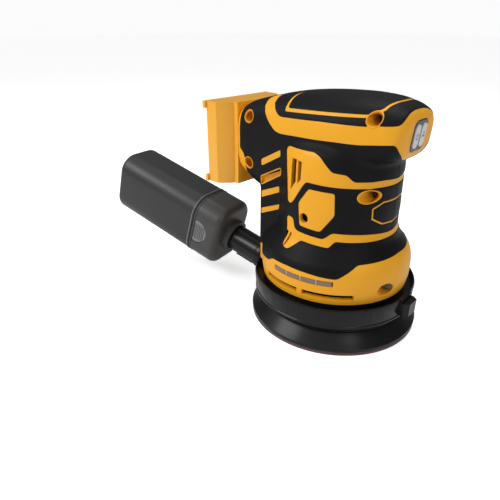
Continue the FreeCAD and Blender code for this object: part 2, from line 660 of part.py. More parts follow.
def latch(side):
    face = latch_outline(0.0)
    face.translate(V(0, side * (BOX_HALF - 0.6), 0))
    pad = face.extrude(V(0, -side * 2.4, 0))
    grooves = []
    for i in range(7):
        x = LATCH_X0 + 2.4 + 1.6 * i
        y0 = min(side * (BOX_HALF - 0.6), side * (BOX_HALF - 1.2))
        grooves.append(block(x, x + 0.7, y0, y0 + 0.6, -7, 7).common(pad))
    return pad.cut(grooves)


# ---------------------------------------------------------------- battery bracket

BRACKET_Z0 = 89.0
BRACKET_Z1 = 149.5


def make_bracket():
    half = [(REAR_X - 0.3, 24.5), (-80.0, 24.5), (-81.5, 27.5), (-86.0, 31.5), (-89.0, 34.0), (-99.0, 34.0)]
    outline = half + [(x, -y) for x, y in reversed(half)]
    outer = plan_prism(outline, BRACKET_Z0, BRACKET_Z1)
    lips = [block(-101.5, -98.9, -35.5, 35.5, BRACKET_Z0, BRACKET_Z0 + 5),
            block(-101.5, -98.9, -35.5, 35.5, BRACKET_Z1 - 5, BRACKET_Z1)]
    bay = block(-110, -84.5, -28.0, 28.0, BRACKET_Z0 - 5, BRACKET_Z1 - 3)
    rails = [block(-99, -95.5, -28.5, -24.0, BRACKET_Z0, BRACKET_Z1 - 3),
             block(-99, -95.5, 24.0, 28.5, BRACKET_Z0, BRACKET_Z1 - 3)]
    x0, x1, y0, y1, z0, z1 = BRACKET_NECK
    neck = block(x0, x1, y0 + NECK_GAP, y1 - NECK_GAP, z0 + NECK_GAP, z1 - NECK_GAP)
    flange = block(REAR_X + WALL + 0.3, REAR_X + WALL + 2.6, -18, 18, 107, 137)
    wires = block(-86, -60, -8, 8, 124, 132)
    channel = fuse([outer] + lips).cut(bay).fuse(rails + [neck, flange])
    pocket = block(-88, -80.5, -19.2, 19.2, 124.8, 145.2)
    save("battery_bracket", channel.cut([pocket, wires]).removeSplitter())
    holder = rounded_block(-90.0, -80.6, -19.0, 19.0, 125.0, 145.0, 1.5, X_AXIS)
    slots = [block(-88.2, -86.8, y - 3.2, y + 3.2, 120, 134) for y in TERMINAL_Y]
    save("terminal_block", holder.cut(slots))
    save("terminal_blades", *[block(-88.0, -87.0, y - 3, y + 3, 110.0, 133.8) for y in TERMINAL_Y])


TERMINAL_Y = (-12.5, -4.5, 4.5, 12.5)


# ---------------------------------------------------------------- electronics

def make_electronics():
    save("controller_board", block(-50.0, -48.4, -19, 19, 99, 142))
    sink = block(-48.4, -46.0, -17, 17, 103, 138)
    fins = [block(-46.0, -42.5, y, y + 1.2, 103, 138) for y in range(-16, 17, 4)]
    save("heat_sink", fuse([sink] + fins))
    panel = nose_block(-2.2, 0.0, 8.8, 9.4, 4.0)
    ovals = [on_nose(oval(y, 0.15, -5, 5)) for y in (-BUTTON_Y, BUTTON_Y)]
    save("button_panel", panel.cut(ovals))
    for y, name in ((-BUTTON_Y, "power_button"), (BUTTON_Y, "speed_button")):
        cap = oval(y, 0.0, -2.6, 0.5).fuse(oval(y, 0.7, -3.8, -3.1)).fuse(oval(y, 0.0, -3.2, -2.5))
        save(name, on_nose(cap.removeSplitter()))
    board = nose_block(-8.6, -7.0, 7.2, 8.2, 1.0)
    save("switch_board", board)
    domes = []
    for y in (-BUTTON_Y, BUTTON_Y):
        dome = Part.makeCylinder(2.2, 1.9, V(-7.0, y, 0), X_AXIS)
        domes.append(on_nose(dome))
    save("switch_domes", *domes)
    save("wire_harness", *[wire_run(points, 1.1) for points in WIRE_RUNS])


def oval(y, grow, depth0, depth1):
    half_y = 3.2 + grow
    half_u = 7.2 + grow
    return rounded_block(depth0, depth1, y - half_y, y + half_y, -half_u, half_u, half_y - 0.05, X_AXIS)


WIRE_RUNS = [
    [V(-80.4, -5, 128), V(-68, -5, 128), V(-58, -5, 121), V(-50.1, -5, 121)],
    [V(-80.4, 5, 128), V(-68, 5, 128), V(-58, 5, 121), V(-50.1, 5, 121)],
    [V(-48.2, 0, 140.5), V(-36, 0, 143), V(0, 0, 143), V(26, 0, 142), V(40.2, 0, 141)],
]


def wire_run(points, r):
    """A wire of straight runs joined by tangent arcs."""
    edges = []
    here = points[0]
    for i in range(1, len(points) - 1):
        before = (points[i] - points[i - 1])
        after = (points[i + 1] - points[i])
        reach = 0.45 * min(before.Length, after.Length)
        start = points[i] - before.normalize() * reach
        end = points[i] + after.normalize() * reach
        edges.append(Part.makeLine(here, start))
        turn = before.getAngle(after)
        radius = reach / math.tan(turn / 2)
        towards = (end - points[i]) + (start - points[i])
        centre = points[i] + towards.normalize() * (radius / math.cos(turn / 2))
        middle = centre + (points[i] - centre).normalize() * radius
        edges.append(Part.Arc(start, middle, end).toShape())
        here = end
    edges.append(Part.makeLine(here, points[-1]))
    path = Part.Wire(edges)
    circle = Part.makeCircle(r, points[0], points[1] - points[0])
    return path.makePipeShell([Part.Wire([circle])], True, True)


make_pad()
make_fan()
make_shroud()
make_motor()
make_dust_box()
make_bracket()
make_electronics()
make_lenses()
make_screws()
make_housing()
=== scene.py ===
import bmesh
import bpy
import numpy as np
from mathutils import Matrix, Vector


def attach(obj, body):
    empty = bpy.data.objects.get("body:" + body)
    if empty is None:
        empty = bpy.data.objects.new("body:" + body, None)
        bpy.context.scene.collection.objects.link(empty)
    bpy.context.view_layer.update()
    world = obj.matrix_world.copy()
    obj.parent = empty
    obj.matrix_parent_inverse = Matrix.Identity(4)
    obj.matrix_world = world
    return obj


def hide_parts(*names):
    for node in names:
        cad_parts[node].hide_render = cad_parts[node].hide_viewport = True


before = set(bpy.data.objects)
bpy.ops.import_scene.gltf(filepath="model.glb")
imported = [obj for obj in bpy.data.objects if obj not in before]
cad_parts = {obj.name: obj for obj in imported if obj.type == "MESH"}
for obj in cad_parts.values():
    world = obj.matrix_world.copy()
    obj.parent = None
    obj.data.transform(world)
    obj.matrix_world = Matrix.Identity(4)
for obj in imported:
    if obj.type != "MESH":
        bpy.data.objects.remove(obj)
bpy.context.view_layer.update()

# ---- Hard yellow housing, right and left halves
# Two injection-moulded nylon halves meet on the middle plane and are clamped by long screws.
# The outside is the turned motor barrel, the spine behind it and the handle, blended together.
MM = 0.001
BARREL = [(53.6, 34), (54.5, 40), (54.6, 47), (54, 54), (51.8, 60), (47.6, 64.8), (44.2, 69), (42.2, 75),
          (41.4, 92), (40.9, 109), (40.8, 118), (40, 124.5), (37.5, 130), (33, 134)]
# along the handle: x, half width, height of the widest level, top, bottom, squareness
HANDLE = [(-76, 26.5, 125, 147, 100, 4), (-68, 28.2, 126, 151, 95.5, 4), (-56, 29.2, 128, 154.6, 89, 3.8),
          (-40, 31, 132, 158.2, 94, 3.2), (-20, 33, 136, 160.8, 106, 2.8), (0, 34, 138, 162, 112, 2.7),
          (20, 32.8, 139, 162, 116, 2.7), (36, 29, 140, 160, 122, 2.8), (44, 26, 140.5, 157.6, 125, 2.8),
          (49, 22.4, 141, 154.8, 127.2, 2.9), (52, 18.6, 141.5, 152, 129.6, 3)]
SPINE_REAR, SPINE_HALF, SPINE_CORNER, SPINE_TOP = -54.0, 27.0, 5.5, 112.0
BARREL_TOP = 134.0
REAR_X, NOSE_X, NOSE_Z, NOSE_TILT = -76.0, 50.0, 140.5, 5.0
HOUSING_BOTTOM = 34.0
WALL = 3.0
YELLOW_DROP = 0.45


def smooth_curve(x, knots, values):
    """Cubic through the knots, with slopes from their neighbours."""
    k, v = np.asarray(knots, float), np.asarray(values, float)
    slope = np.gradient(v, k)
    x = np.clip(x, k[0], k[-1])
    i = np.clip(np.searchsorted(k, x) - 1, 0, len(k) - 2)
    h = k[i + 1] - k[i]
    t = (x - k[i]) / h
    return ((2 * t**3 - 3 * t**2 + 1) * v[i] + (t**3 - 2 * t**2 + t) * h * slope[i]
            + (3 * t**2 - 2 * t**3) * v[i + 1] + (t**3 - t**2) * h * slope[i + 1])


def soft_min(a, b, k):
    h = np.clip(0.5 + 0.5 * (b - a) / k, 0, 1)
    return b * (1 - h) + a * h - k * h * (1 - h)


def soft_max(a, b, k):
    return -soft_min(-a, -b, k)


def barrel_depth(p):
    radius = smooth_curve(p[:, 2], [z for r, z in BARREL], [r for r, z in BARREL])
    return soft_max((np.hypot(p[:, 0], p[:, 1]) - radius) * 0.93, p[:, 2] - BARREL_TOP, 1.0)


def handle_depth(p):
    stations = [row[0] for row in HANDLE]
    half, level, top, bottom, squareness = [
        smooth_curve(p[:, 0], stations, [row[i] for row in HANDLE]) for i in range(1, 6)]
    dz = p[:, 2] - level
    tall = np.where(dz > 0, top - level, level - bottom)
    share = ((np.abs(p[:, 1]) / half)**squareness + (np.abs(dz) / tall)**squareness)**(1 / squareness)
    depth = np.hypot(p[:, 1], dz) * (1 - 1 / np.maximum(share, 1e-6))
    tilt = np.radians(NOSE_TILT)
    nose = (p[:, 0] - NOSE_X) * np.cos(tilt) - (p[:, 2] - NOSE_Z) * np.sin(tilt)
    return soft_max(soft_max(depth, nose, 5.0), REAR_X - p[:, 0], 3.0)


def spine_depth(p):
    reach = -SPINE_REAR / 2
    qx = np.abs(p[:, 0] + reach) - (reach - SPINE_CORNER)
    qy = np.abs(p[:, 1]) - (SPINE_HALF - SPINE_CORNER)
    side = np.hypot(np.maximum(qx, 0), np.maximum(qy, 0)) + np.minimum(np.maximum(qx, qy), 0) - SPINE_CORNER
    return soft_max(side, p[:, 2] - SPINE_TOP, 2.0)


def body_depth(p):
    """About the distance in mm from the outside of the body; negative inside."""
    return soft_min(soft_min(barrel_depth(p), spine_depth(p), 3.0), handle_depth(p), 4.0)


def body_slope(p, step=0.02):
    """The outward direction of the body at each point."""
    g = np.zeros_like(p)
    for axis in range(3):
        ahead, behind = p.copy(), p.copy()
        ahead[:, axis] += step
        behind[:, axis] -= step
        g[:, axis] = body_depth(ahead) - body_depth(behind)
    return g / np.maximum(np.linalg.norm(g, axis=1, keepdims=True), 1e-9)


def settle(p, level, turns=6):
    """Moves points along the slope onto the surface at that level."""
    for _ in range(turns):
        n = body_slope(p)
        rise = (body_depth(p + n * 0.05) - body_depth(p - n * 0.05)) / 0.1
        p = p - n * np.clip((body_depth(p) - level) / np.maximum(rise, 0.3), -2, 2)[:, None]
    return p


def new_mesh(name, points, faces):
    mesh = bpy.data.meshes.new(name)
    mesh.from_pydata(np.asarray(points, float).tolist(), [], [list(map(int, f)) for f in faces])
    mesh.update()
    return mesh


def tube_faces(rings, count, closed_ends=True):
    """Faces between rings of points, with the two ends filled."""
    faces = []
    for a in range(rings - 1):
        for b in range(count):
            c = (b + 1) % count
            faces.append((a * count + b, a * count + c, (a + 1) * count + c, (a + 1) * count + b))
    if closed_ends:
        faces.append(tuple(range(count))[::-1])
        faces.append(tuple((rings - 1) * count + b for b in range(count)))
    return faces


def rough_body(inset, bottom):
    """Closed barrel, spine and handle, to be fused by a voxel remesh."""
    sides = 64
    turn = np.linspace(0, 2 * np.pi, sides, endpoint=False)
    points, faces = [], []

    def add(rings):
        start = len(points)
        points.extend(np.concatenate(rings).tolist())
        faces.extend([tuple(start + i for i in f) for f in tube_faces(len(rings), len(rings[0]))])

    profile = [(BARREL[0][0], bottom)] + BARREL[1:]
    add([np.c_[(r - inset) * np.cos(turn), (r - inset) * np.sin(turn),
               np.full(sides, min(z, BARREL_TOP - inset))] for r, z in profile])
    rings = []
    for x, half, level, top, low, n in HANDLE:
        across = np.sign(np.cos(turn)) * np.abs(np.cos(turn))**(2 / n) * (half - inset)
        up = np.sign(np.sin(turn)) * np.abs(np.sin(turn))**(2 / n)
        up = up * np.where(up > 0, top - level - inset, level - low - inset)
        rings.append(np.c_[np.full(sides, np.clip(x, REAR_X + inset, NOSE_X - inset)), across, level + up])
    add(rings)
    corners = np.array([(SPINE_REAR + inset, -1), (0, -1), (0, 1), (SPINE_REAR + inset, 1)]) \
        * (1, SPINE_HALF - inset - 0.5)
    add([np.c_[corners, np.full(4, z)] for z in (bottom, SPINE_TOP - inset)])
    return new_mesh("rough", points, faces)


def evaluated(piece):
    """The mesh that the piece's modifiers give."""
    graph = bpy.context.evaluated_depsgraph_get()
    graph.update()
    return bpy.data.meshes.new_from_object(piece.evaluated_get(graph))


def held(mesh):
    piece = bpy.data.objects.new(mesh.name, mesh)
    bpy.context.scene.collection.objects.link(piece)
    return piece


def outward(mesh):
    """Merges doubles and turns all faces outwards."""
    work = bmesh.new()
    work.from_mesh(mesh)
    bmesh.ops.remove_doubles(work, verts=work.verts, dist=1e-4)
    bmesh.ops.recalc_face_normals(work, faces=work.faces)
    work.to_mesh(mesh)
    work.free()
    return mesh


def body_skin(level, bottom, voxel):
    """An even quad mesh of the body at that depth; its flat bottom is cut off later."""
    piece = held(outward(rough_body(-level, bottom)))
    remesh = piece.modifiers.new("remesh", "REMESH")
    remesh.mode, remesh.voxel_size = "VOXEL", voxel
    mesh = evaluated(piece)
    bpy.data.objects.remove(piece)
    points = np.array([v.co for v in mesh.vertices], float)
    edges = np.array([e.vertices for e in mesh.edges])
    count = np.bincount(edges.ravel(), minlength=len(points))[:, None]
    free = points[:, 2] > bottom + 2 * voxel
    for _ in range(4):
        total = np.zeros_like(points)
        np.add.at(total, edges[:, 0], points[edges[:, 1]])
        np.add.at(total, edges[:, 1], points[edges[:, 0]])
        points[free] = (0.5 * points + 0.5 * total / count)[free]
        points[free] = settle(points[free], level, 3)
    mesh.vertices.foreach_set("co", points.ravel())
    mesh.update()
    return mesh


def cut(mesh, cutter, operation="DIFFERENCE"):
    """One boolean step; both meshes are closed."""
    piece, tool = held(mesh), held(cutter)
    step = piece.modifiers.new("cut", "BOOLEAN")
    step.operation, step.solver, step.object = operation, "MANIFOLD", tool
    result = evaluated(piece)
    bpy.data.objects.remove(piece)
    bpy.data.objects.remove(tool)
    return result


def solid(*parts):
    """One closed mesh from separate closed parts, each given as points and faces."""
    points, faces = [], []
    for p, f in parts:
        faces.extend([tuple(len(points) + i for i in face) for face in f])
        points.extend(np.asarray(p, float).tolist())
    return outward(new_mesh("tool", points, faces))


def bar(start, end, radius, sides=40):
    """A closed round bar between two points."""
    start, end = Vector(start), Vector(end)
    turn = (end - start).to_track_quat("Z", "Y")
    angles = np.linspace(0, 2 * np.pi, sides, endpoint=False)
    ring = [turn @ Vector((radius * np.cos(a), radius * np.sin(a), 0)) for a in angles]
    return [start + v for v in ring] + [end + v for v in ring], tube_faces(2, sides)


def prism(outline, y0, y1):
    """A closed prism with its outline in x and z, from y0 to y1."""
    n = len(outline)
    points = [(x, y0, z) for x, z in outline] + [(x, y1, z) for x, z in outline]
    return points, tube_faces(2, n)


def arc_block(r0, r1, a0, a1, z0, z1, parts=24):
    """A closed piece of a ring about the motor axis, between two angles in degrees."""
    rings = []
    for a in np.radians(np.linspace(a0, a1, parts)):
        rings.append([(r * np.cos(a), r * np.sin(a), z) for r, z in ((r0, z0), (r1, z0), (r1, z1), (r0, z1))])
    return [p for ring in rings for p in ring], tube_faces(parts, 4)


def rounded_outline(half_a, half_b, radius, steps=6):
    """Points of a rounded rectangle about zero."""
    points = []
    for quarter, (sa, sb) in enumerate(((1, 1), (-1, 1), (-1, -1), (1, -1))):
        for t in np.radians(np.linspace(0, 90, steps)) + quarter * np.pi / 2:
            points.append((sa * (half_a - radius) + radius * np.cos(t),
                           sb * (half_b - radius) + radius * np.sin(t)))
    return points


def on_nose(depth, across, up):
    """A point on the tilted front of the nose; depth is outwards."""
    tilt = np.radians(NOSE_TILT)
    return (NOSE_X + depth * np.cos(tilt) + up * np.sin(tilt), across,
            NOSE_Z - depth * np.sin(tilt) + up * np.cos(tilt))


def nose_block(depth0, depth1, half_y, half_u, radius):
    outline = rounded_outline(half_y, half_u, radius)
    return ([on_nose(depth0, y, u) for y, u in outline] + [on_nose(depth1, y, u) for y, u in outline],
            tube_faces(2, len(outline)))


# x, z, depth of the head seat and of the tip, for the four long screws
CLAMP_SCREWS = [(-62, 142, -14, 14), (-62, 109, -14, 14), (34, 151.5, -14, 12), (34, 104, -10, 16)]
BORE_R, BOSS_R = 4.0, 6.0
HEX_SCREW = (-1.0, 86.0)
COLLAR_SCREW_AT = Vector((51.7, -18.8, 42.5))
COLLAR_SCREW_OUT = Vector((np.cos(np.radians(-68)), np.sin(np.radians(-68)), 0))
COLLAR_BORE_R, COLLAR_BORE_DEPTH, COLLAR_BOSS_R = 4.4, 9.2, 5.4
SCREW_HEAD_RECESS_R = 3.4
STRIPES = [[(-48.5, 114.4), (-29.8, 124.3), (-30, 119.7), (-48.5, 109.5)],
           [(-51, 89.7), (-33.7, 97), (-33.5, 92.5), (-51, 84.6)],
           [(-51, 76.2), (-33, 83.6), (-33.6, 79.6), (-51, 71.8)]]
SPINE_VENT = [(-50, 101), (-31.5, 110.6), (-32.8, 105.6), (-51, 95)]
PANEL_VENTS = [[(-15.2, 101.4), (-10.2, 108.5), (-10.4, 122.8), (-14.9, 122.8)],
               [(-8.6, 107.5), (-5.6, 111), (-5.6, 122), (-8.9, 122.8)]]
FLARE_VENTS = [[(-17.8, 62.5), (-15.6, 62.5), (-13.2, 73), (-15, 73.6)],
               [(-13.8, 63.6), (-11.8, 65.4), (-9.8, 72.6), (-11.4, 73.2)]]
LENS_ARC, LENS_Z0, LENS_Z1 = (58.0, 106.0), 47.6, 51.2

def pressed(mesh, level):
    """Lowers points where flat facets would bridge a hollow of the body."""
    points = np.array([v.co for v in mesh.vertices], float)
    corners = np.array([p.vertices for p in mesh.polygons])
    for _ in range(3):
        middle = points[corners].mean(1)
        rise = body_depth(middle) - level
        rise[(middle[:, 2] < HOUSING_BOTTOM) | (rise < 0.03)] = 0
        drop = np.zeros(len(points))
        np.maximum.at(drop, corners.ravel(), np.repeat(rise, corners.shape[1]))
        points -= body_slope(points) * drop[:, None]
    mesh.vertices.foreach_set("co", points.ravel())
    mesh.update()
    return mesh


shell_skin = pressed(body_skin(-YELLOW_DROP, 28.0, 1.35), -YELLOW_DROP)
hollow = body_skin(-WALL - YELLOW_DROP, 26.0, 2.6)
bosses = [bar((x, -50, z), (x, 50, z), BOSS_R) for x, z, head, tip in CLAMP_SCREWS]
hollow = cut(hollow, solid(*bosses))
hollow = cut(hollow, solid(bar(COLLAR_SCREW_AT + COLLAR_SCREW_OUT * 4, COLLAR_SCREW_AT - COLLAR_SCREW_OUT * 12,
                               COLLAR_BOSS_R)))
shell_skin = cut(shell_skin, hollow)
under_housing = [(-90, 20), (90, 20), (90, HOUSING_BOTTOM), (-90, HOUSING_BOTTOM)]
shell_skin = cut(shell_skin, solid(prism(under_housing, -80, 80)))
openings = [solid(*[bar((x, -60, z), (x, head, z), BORE_R) for x, z, head, tip in CLAMP_SCREWS]),
            solid(bar(COLLAR_SCREW_AT + COLLAR_SCREW_OUT * 12,
                      COLLAR_SCREW_AT - COLLAR_SCREW_OUT * COLLAR_BORE_DEPTH, COLLAR_BORE_R)),
            solid(nose_block(-3.6, 4, 9, 9.6, 4.2)), solid(nose_block(-12, -3, 7.4, 8.4, 3))]
tools = []
for side in (-1, 1):
    tools.append(bar((HEX_SCREW[0], side * 60, HEX_SCREW[1]), (HEX_SCREW[0], side * 34.5, HEX_SCREW[1]),
                     SCREW_HEAD_RECESS_R))
    tools.append(prism(SPINE_VENT, side * 45, side * (SPINE_HALF - 2.4)))
    for outline in PANEL_VENTS + FLARE_VENTS:
        tools.append(prism(outline, side * 60, side * 30))
    for a0, a1, z0, z1 in ((84, 115, 38.4, 41.7), (43, 80, 38.2, 41.8)):
        tools.append(arc_block(46, 60, side * a0, side * a1, z0, z1))
    tools.append(arc_block(51, 60, side * LENS_ARC[0], side * LENS_ARC[1], LENS_Z0, LENS_Z1))
openings.append(solid(*tools))
openings.append(solid(prism([(-80, 110), (-70, 110), (-70, 134), (-80, 134)], -14, 14)))
for opening in openings:
    shell_skin = cut(shell_skin, opening)


def dress_normals(mesh, level):
    """Exact normals where a face lies on the body's skin, and flat or turned ones elsewhere."""
    work = bmesh.new()
    work.from_mesh(mesh)
    bmesh.ops.triangulate(work, faces=[f for f in work.faces if len(f.verts) > 4])
    for edge in work.edges:
        edge.smooth = edge.calc_face_angle(3.2) < np.radians(34)
    for face in work.faces:
        face.smooth = True
    work.to_mesh(mesh)
    work.free()
    points = np.array([v.co for v in mesh.vertices], float)
    on_skin = np.abs(body_depth(points) - level) < 0.04
    slope = body_slope(points)
    corner = np.array([n.vector for n in mesh.corner_normals])
    vertex = np.array([loop.vertex_index for loop in mesh.loops])
    face_normal = np.repeat(np.array([f.normal for f in mesh.polygons]),
                            [f.loop_total for f in mesh.polygons], axis=0)
    fits = on_skin[vertex] & ((slope[vertex] * face_normal).sum(1) > 0.75)
    corner[fits] = slope[vertex][fits]
    mesh.normals_split_custom_set(corner.tolist())
    mesh.transform(Matrix.Scale(MM, 4))
    return mesh


def moulding_group():
    """Shared skin of a moulded part: spark grain, faint clouding and a little rubbed-in dirt."""
    tree = bpy.data.node_groups.new("moulded_skin", "ShaderNodeTree")
    for name, kind, value in (("Colour", "Color", (1, 1, 1, 1)), ("Deep Colour", "Color", (0, 0, 0, 1)),
                              ("Clouding", "Float", 0.3), ("Roughness", "Float", 0.4),
                              ("Roughness Spread", "Float", 0.1), ("Grain Scale", "Float", 3000.0),
                              ("Grain Depth", "Float", 0.00002)):
        socket = tree.interface.new_socket(name=name, in_out="INPUT", socket_type="NodeSocket" + kind)
        socket.default_value = value
    for name, kind in (("Color", "NodeSocketColor"), ("Roughness", "NodeSocketFloat"),
                       ("Normal", "NodeSocketVector")):
        tree.interface.new_socket(name=name, in_out="OUTPUT", socket_type=kind)
    nodes, links = tree.nodes, tree.links
    given, made = nodes.new("NodeGroupInput"), nodes.new("NodeGroupOutput")
    place = nodes.new("ShaderNodeTexCoord")
    cloud, grain = nodes.new("ShaderNodeTexNoise"), nodes.new("ShaderNodeTexNoise")
    cloud.inputs["Scale"].default_value = 38.0
    cloud.inputs["Detail"].default_value = 5.0
    grain.inputs["Detail"].default_value = 3.0
    for noise in (cloud, grain):
        links.new(place.outputs["Object"], noise.inputs["Vector"])
    links.new(given.outputs["Grain Scale"], grain.inputs["Scale"])
    share = nodes.new("ShaderNodeMath")
    share.operation = "MULTIPLY"
    links.new(cloud.outputs["Fac"], share.inputs[0])
    links.new(given.outputs["Clouding"], share.inputs[1])
    mix = nodes.new("ShaderNodeMix")
    mix.data_type = "RGBA"
    links.new(share.outputs[0], mix.inputs["Factor"])
    links.new(given.outputs["Colour"], mix.inputs["A"])
    links.new(given.outputs["Deep Colour"], mix.inputs["B"])
    links.new(mix.outputs["Result"], made.inputs["Color"])
    spread = nodes.new("ShaderNodeMath")
    spread.operation = "MULTIPLY_ADD"
    links.new(cloud.outputs["Fac"], spread.inputs[0])
    links.new(given.outputs["Roughness Spread"], spread.inputs[1])
    links.new(given.outputs["Roughness"], spread.inputs[2])
    links.new(spread.outputs[0], made.inputs["Roughness"])
    bump = nodes.new("ShaderNodeBump")
    bump.inputs["Strength"].default_value = 0.6
    links.new(given.outputs["Grain Depth"], bump.inputs["Distance"])
    links.new(grain.outputs["Fac"], bump.inputs["Height"])
    links.new(bump.outputs["Normal"], made.inputs["Normal"])
    return tree


moulded_skin = moulding_group()


def moulded(name, colour, deep, clouding, rough, spread, grain, depth, metallic=0.0, coat=0.0, coat_rough=0.1,
            specular=0.5, sheen=0.0):
    """A material on the shared moulded skin, with its own values."""
    material = bpy.data.materials.new(name)
    material.use_nodes = True
    shader = material.node_tree.nodes["Principled BSDF"]
    skin = material.node_tree.nodes.new("ShaderNodeGroup")
    skin.node_tree = moulded_skin
    skin.inputs["Colour"].default_value = (*colour, 1)
    skin.inputs["Deep Colour"].default_value = (*deep, 1)
    for socket, value in (("Clouding", clouding), ("Roughness", rough), ("Roughness Spread", spread),
                          ("Grain Scale", grain), ("Grain Depth", depth)):
        skin.inputs[socket].default_value = value
    for source, target in (("Color", "Base Color"), ("Roughness", "Roughness"), ("Normal", "Normal")):
        material.node_tree.links.new(skin.outputs[source], shader.inputs[target])
    shader.inputs["Metallic"].default_value = metallic
    shader.inputs["Coat Weight"].default_value = coat
    shader.inputs["Coat Roughness"].default_value = coat_rough
    shader.inputs["Specular IOR Level"].default_value = specular
    shader.inputs["Sheen Weight"].default_value = sheen
    return material


yellow_nylon = moulded("satin_yellow_nylon", (0.80, 0.37, 0.013), (0.69, 0.29, 0.008), 0.5, 0.36, 0.16, 2600,
                       0.00004, specular=0.25, coat=0.05, coat_rough=0.3)
OTHER_HALF, SEAM = [(-95, 10), (95, 10), (95, 180), (-95, 180)], 0.08
for side, name in ((-1, "right"), (1, "left")):
    half = cut(shell_skin.copy(), solid(prism(OTHER_HALF, side * SEAM, -side * 90)))
    half.materials.clear()
    half.polygons.foreach_set("material_index", [0] * len(half.polygons))
    piece = held(dress_normals(half, -YELLOW_DROP))
    piece.name = "shell_" + name
    piece.data.materials.append(yellow_nylon)
    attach(piece, "housing")
    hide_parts("housing_" + name)
bpy.data.meshes.remove(shell_skin)

# ---- Soft black grip, right and left
# Thermoplastic rubber moulded over the yellow halves, standing a little proud with soft edges.
# It leaves the yellow panels, bands, stripes and thin lines open; each half has its own skin.
GRIP_LEVEL = -0.06
GRIP_EDGE = [(0.0, -0.26), (0.28, -0.07), (0.8, 0.0)]
GRIP_ROOT = -1.1
BORE_RIM = 0.6
# outlines wrapped round the motor axis: degrees from the front, height
HANDLE_BAND = [(152, 151), (150, 148.3), (143, 140), (138.6, 136), (134, 135), (110, 135.6), (81.5, 136.2),
               (48, 136.5), (27.7, 138.2), (25.4, 136.8), (22.7, 133.6), (15, 127.8), (0, 124), (-6, 124),
               (-6, 155.8), (2, 155.8), (7, 155.7), (11.3, 155.2), (14.8, 154.5), (17.9, 153.3), (20, 152.2),
               (22, 150.9), (24, 149.6), (26, 148.8), (28.4, 148.5), (36, 148.1), (46.5, 147.2), (87, 147),
               (136.4, 145.7), (141, 148), (148, 152.8)]
UPPER_PANEL = [(125, 127), (122, 129), (86.7, 129.4), (79.7, 127.3), (67.4, 119), (55, 118), (48, 113.8),
               (32, 113.4), (19.5, 113.6), (-3, 112.3), (-3, 108.9), (18.5, 109.2), (46, 109.5), (64, 109.8),
               (91.3, 110.5), (95, 107.3), (105.4, 95.6), (109.6, 92.5), (115, 93)]
HEX_PANEL = [(88, 106.4), (63.5, 106), (62, 91.5), (74, 79.3), (96, 80.2), (98.5, 95.6)]
LOWER_BAND = [(115.6, 81), (112.4, 83.3), (105, 83.2), (102, 77.5), (98, 76), (70.4, 75), (62.4, 79.7),
              (44, 79.2), (27, 78.5), (4, 77), (-3, 77), (-3, 73.6), (27, 73.7), (40.5, 74), (59.6, 74.4),
              (64.7, 70), (91, 71), (100.5, 63.6), (107.5, 64.4), (111, 72.5)]
COLLAR = [(-5, 63.2), (20, 62.5), (41.7, 62), (56, 53.2), (65, 53.5), (78, 54.5), (94, 55), (110, 54),
          (116, 50.5), (135, 47.4), (190, 47.4), (190, 20), (-5, 20)]
BADGE_LINE = [(0, 98.9), (16.7, 99), (28, 95.8), (27.7, 89), (15.8, 84.4), (0, 83.4)]
# outlines seen from the side: x, height
REAR_FLANGE = [(-90, 170), (-71.6, 170), (-71.6, 118.5), (-67.6, 115.5), (-66.2, 112), (-66.2, 80), (-90, 80)]
TOP_FRAME = [(-28.8, 149.4), (29.4, 151.9), (30.7, 153.7), (-26.9, 151.6), (-28.2, 158.2), (-28.4, 164),
             (-30.2, 164), (-29.9, 158.2)]
# outlines seen from above: x, distance from the middle plane
REAR_CROSSING = [(-53, -2), (-52.5, 10), (-50.4, 20), (-48.3, 28), (-48.3, 40), (-39.6, 40), (-40.4, 27.5),
                 (-42.4, 20), (-44.6, 10), (-45.2, -2)]
FRONT_LINE = [(33.5, 26), (36.4, 20.5), (37.2, 12), (37.6, 5), (37.8, 0)]


def inside_distance(u, v, spread, outline):
    """Distance in mm to an outline, positive inside it. spread turns u into mm at each point."""
    best, odd = np.full(len(u), 1e9), np.zeros(len(u), bool)
    for (u0, v0), (u1, v1) in zip(outline, outline[1:] + outline[:1]):
        du, dv = (u1 - u0) * spread, v1 - v0
        pu, pv = (u - u0) * spread, v - v0
        t = np.clip((pu * du + pv * dv) / (du * du + dv * dv), 0, 1)
        best = np.minimum(best, np.hypot(pu - t * du, pv - t * dv))
        crosses = (v0 > v) != (v1 > v)
        if v0 != v1:
            odd ^= crosses & (u < u0 + (v - v0) * (u1 - u0) / (v1 - v0))
    return np.where(odd, best, -best)


def softened(outline, unit, cut=1.5):
    """The outline with its corners rounded off. unit is the size in mm of one step of the first number."""
    soft = []
    for (u0, v0), (u, v), (u1, v1) in zip(outline[-1:] + outline[:-1], outline, outline[1:] + outline[:1]):
        a = min(cut / np.hypot((u0 - u) * unit, v0 - v), 0.4)
        b = min(cut / np.hypot((u1 - u) * unit, v1 - v), 0.4)
        for t in (0, 0.35, 0.65, 1):
            back, on = a * (1 - t) ** 2, b * t ** 2
            soft.append((u + (u0 - u) * back + (u1 - u) * on, v + (v0 - v) * back + (v1 - v) * on))
    return soft


def line_distance(u, v, spread, line, width):
    """As inside_distance, for a line of some width."""
    best = np.full(len(u), 1e9)
    for (u0, v0), (u1, v1) in zip(line, line[1:]):
        du, dv = (u1 - u0) * spread, v1 - v0
        pu, pv = (u - u0) * spread, v - v0
        t = np.clip((pu * du + pv * dv) / (du * du + dv * dv), 0, 1)
        best = np.minimum(best, np.hypot(pu - t * du, pv - t * dv))
    return width / 2 - best


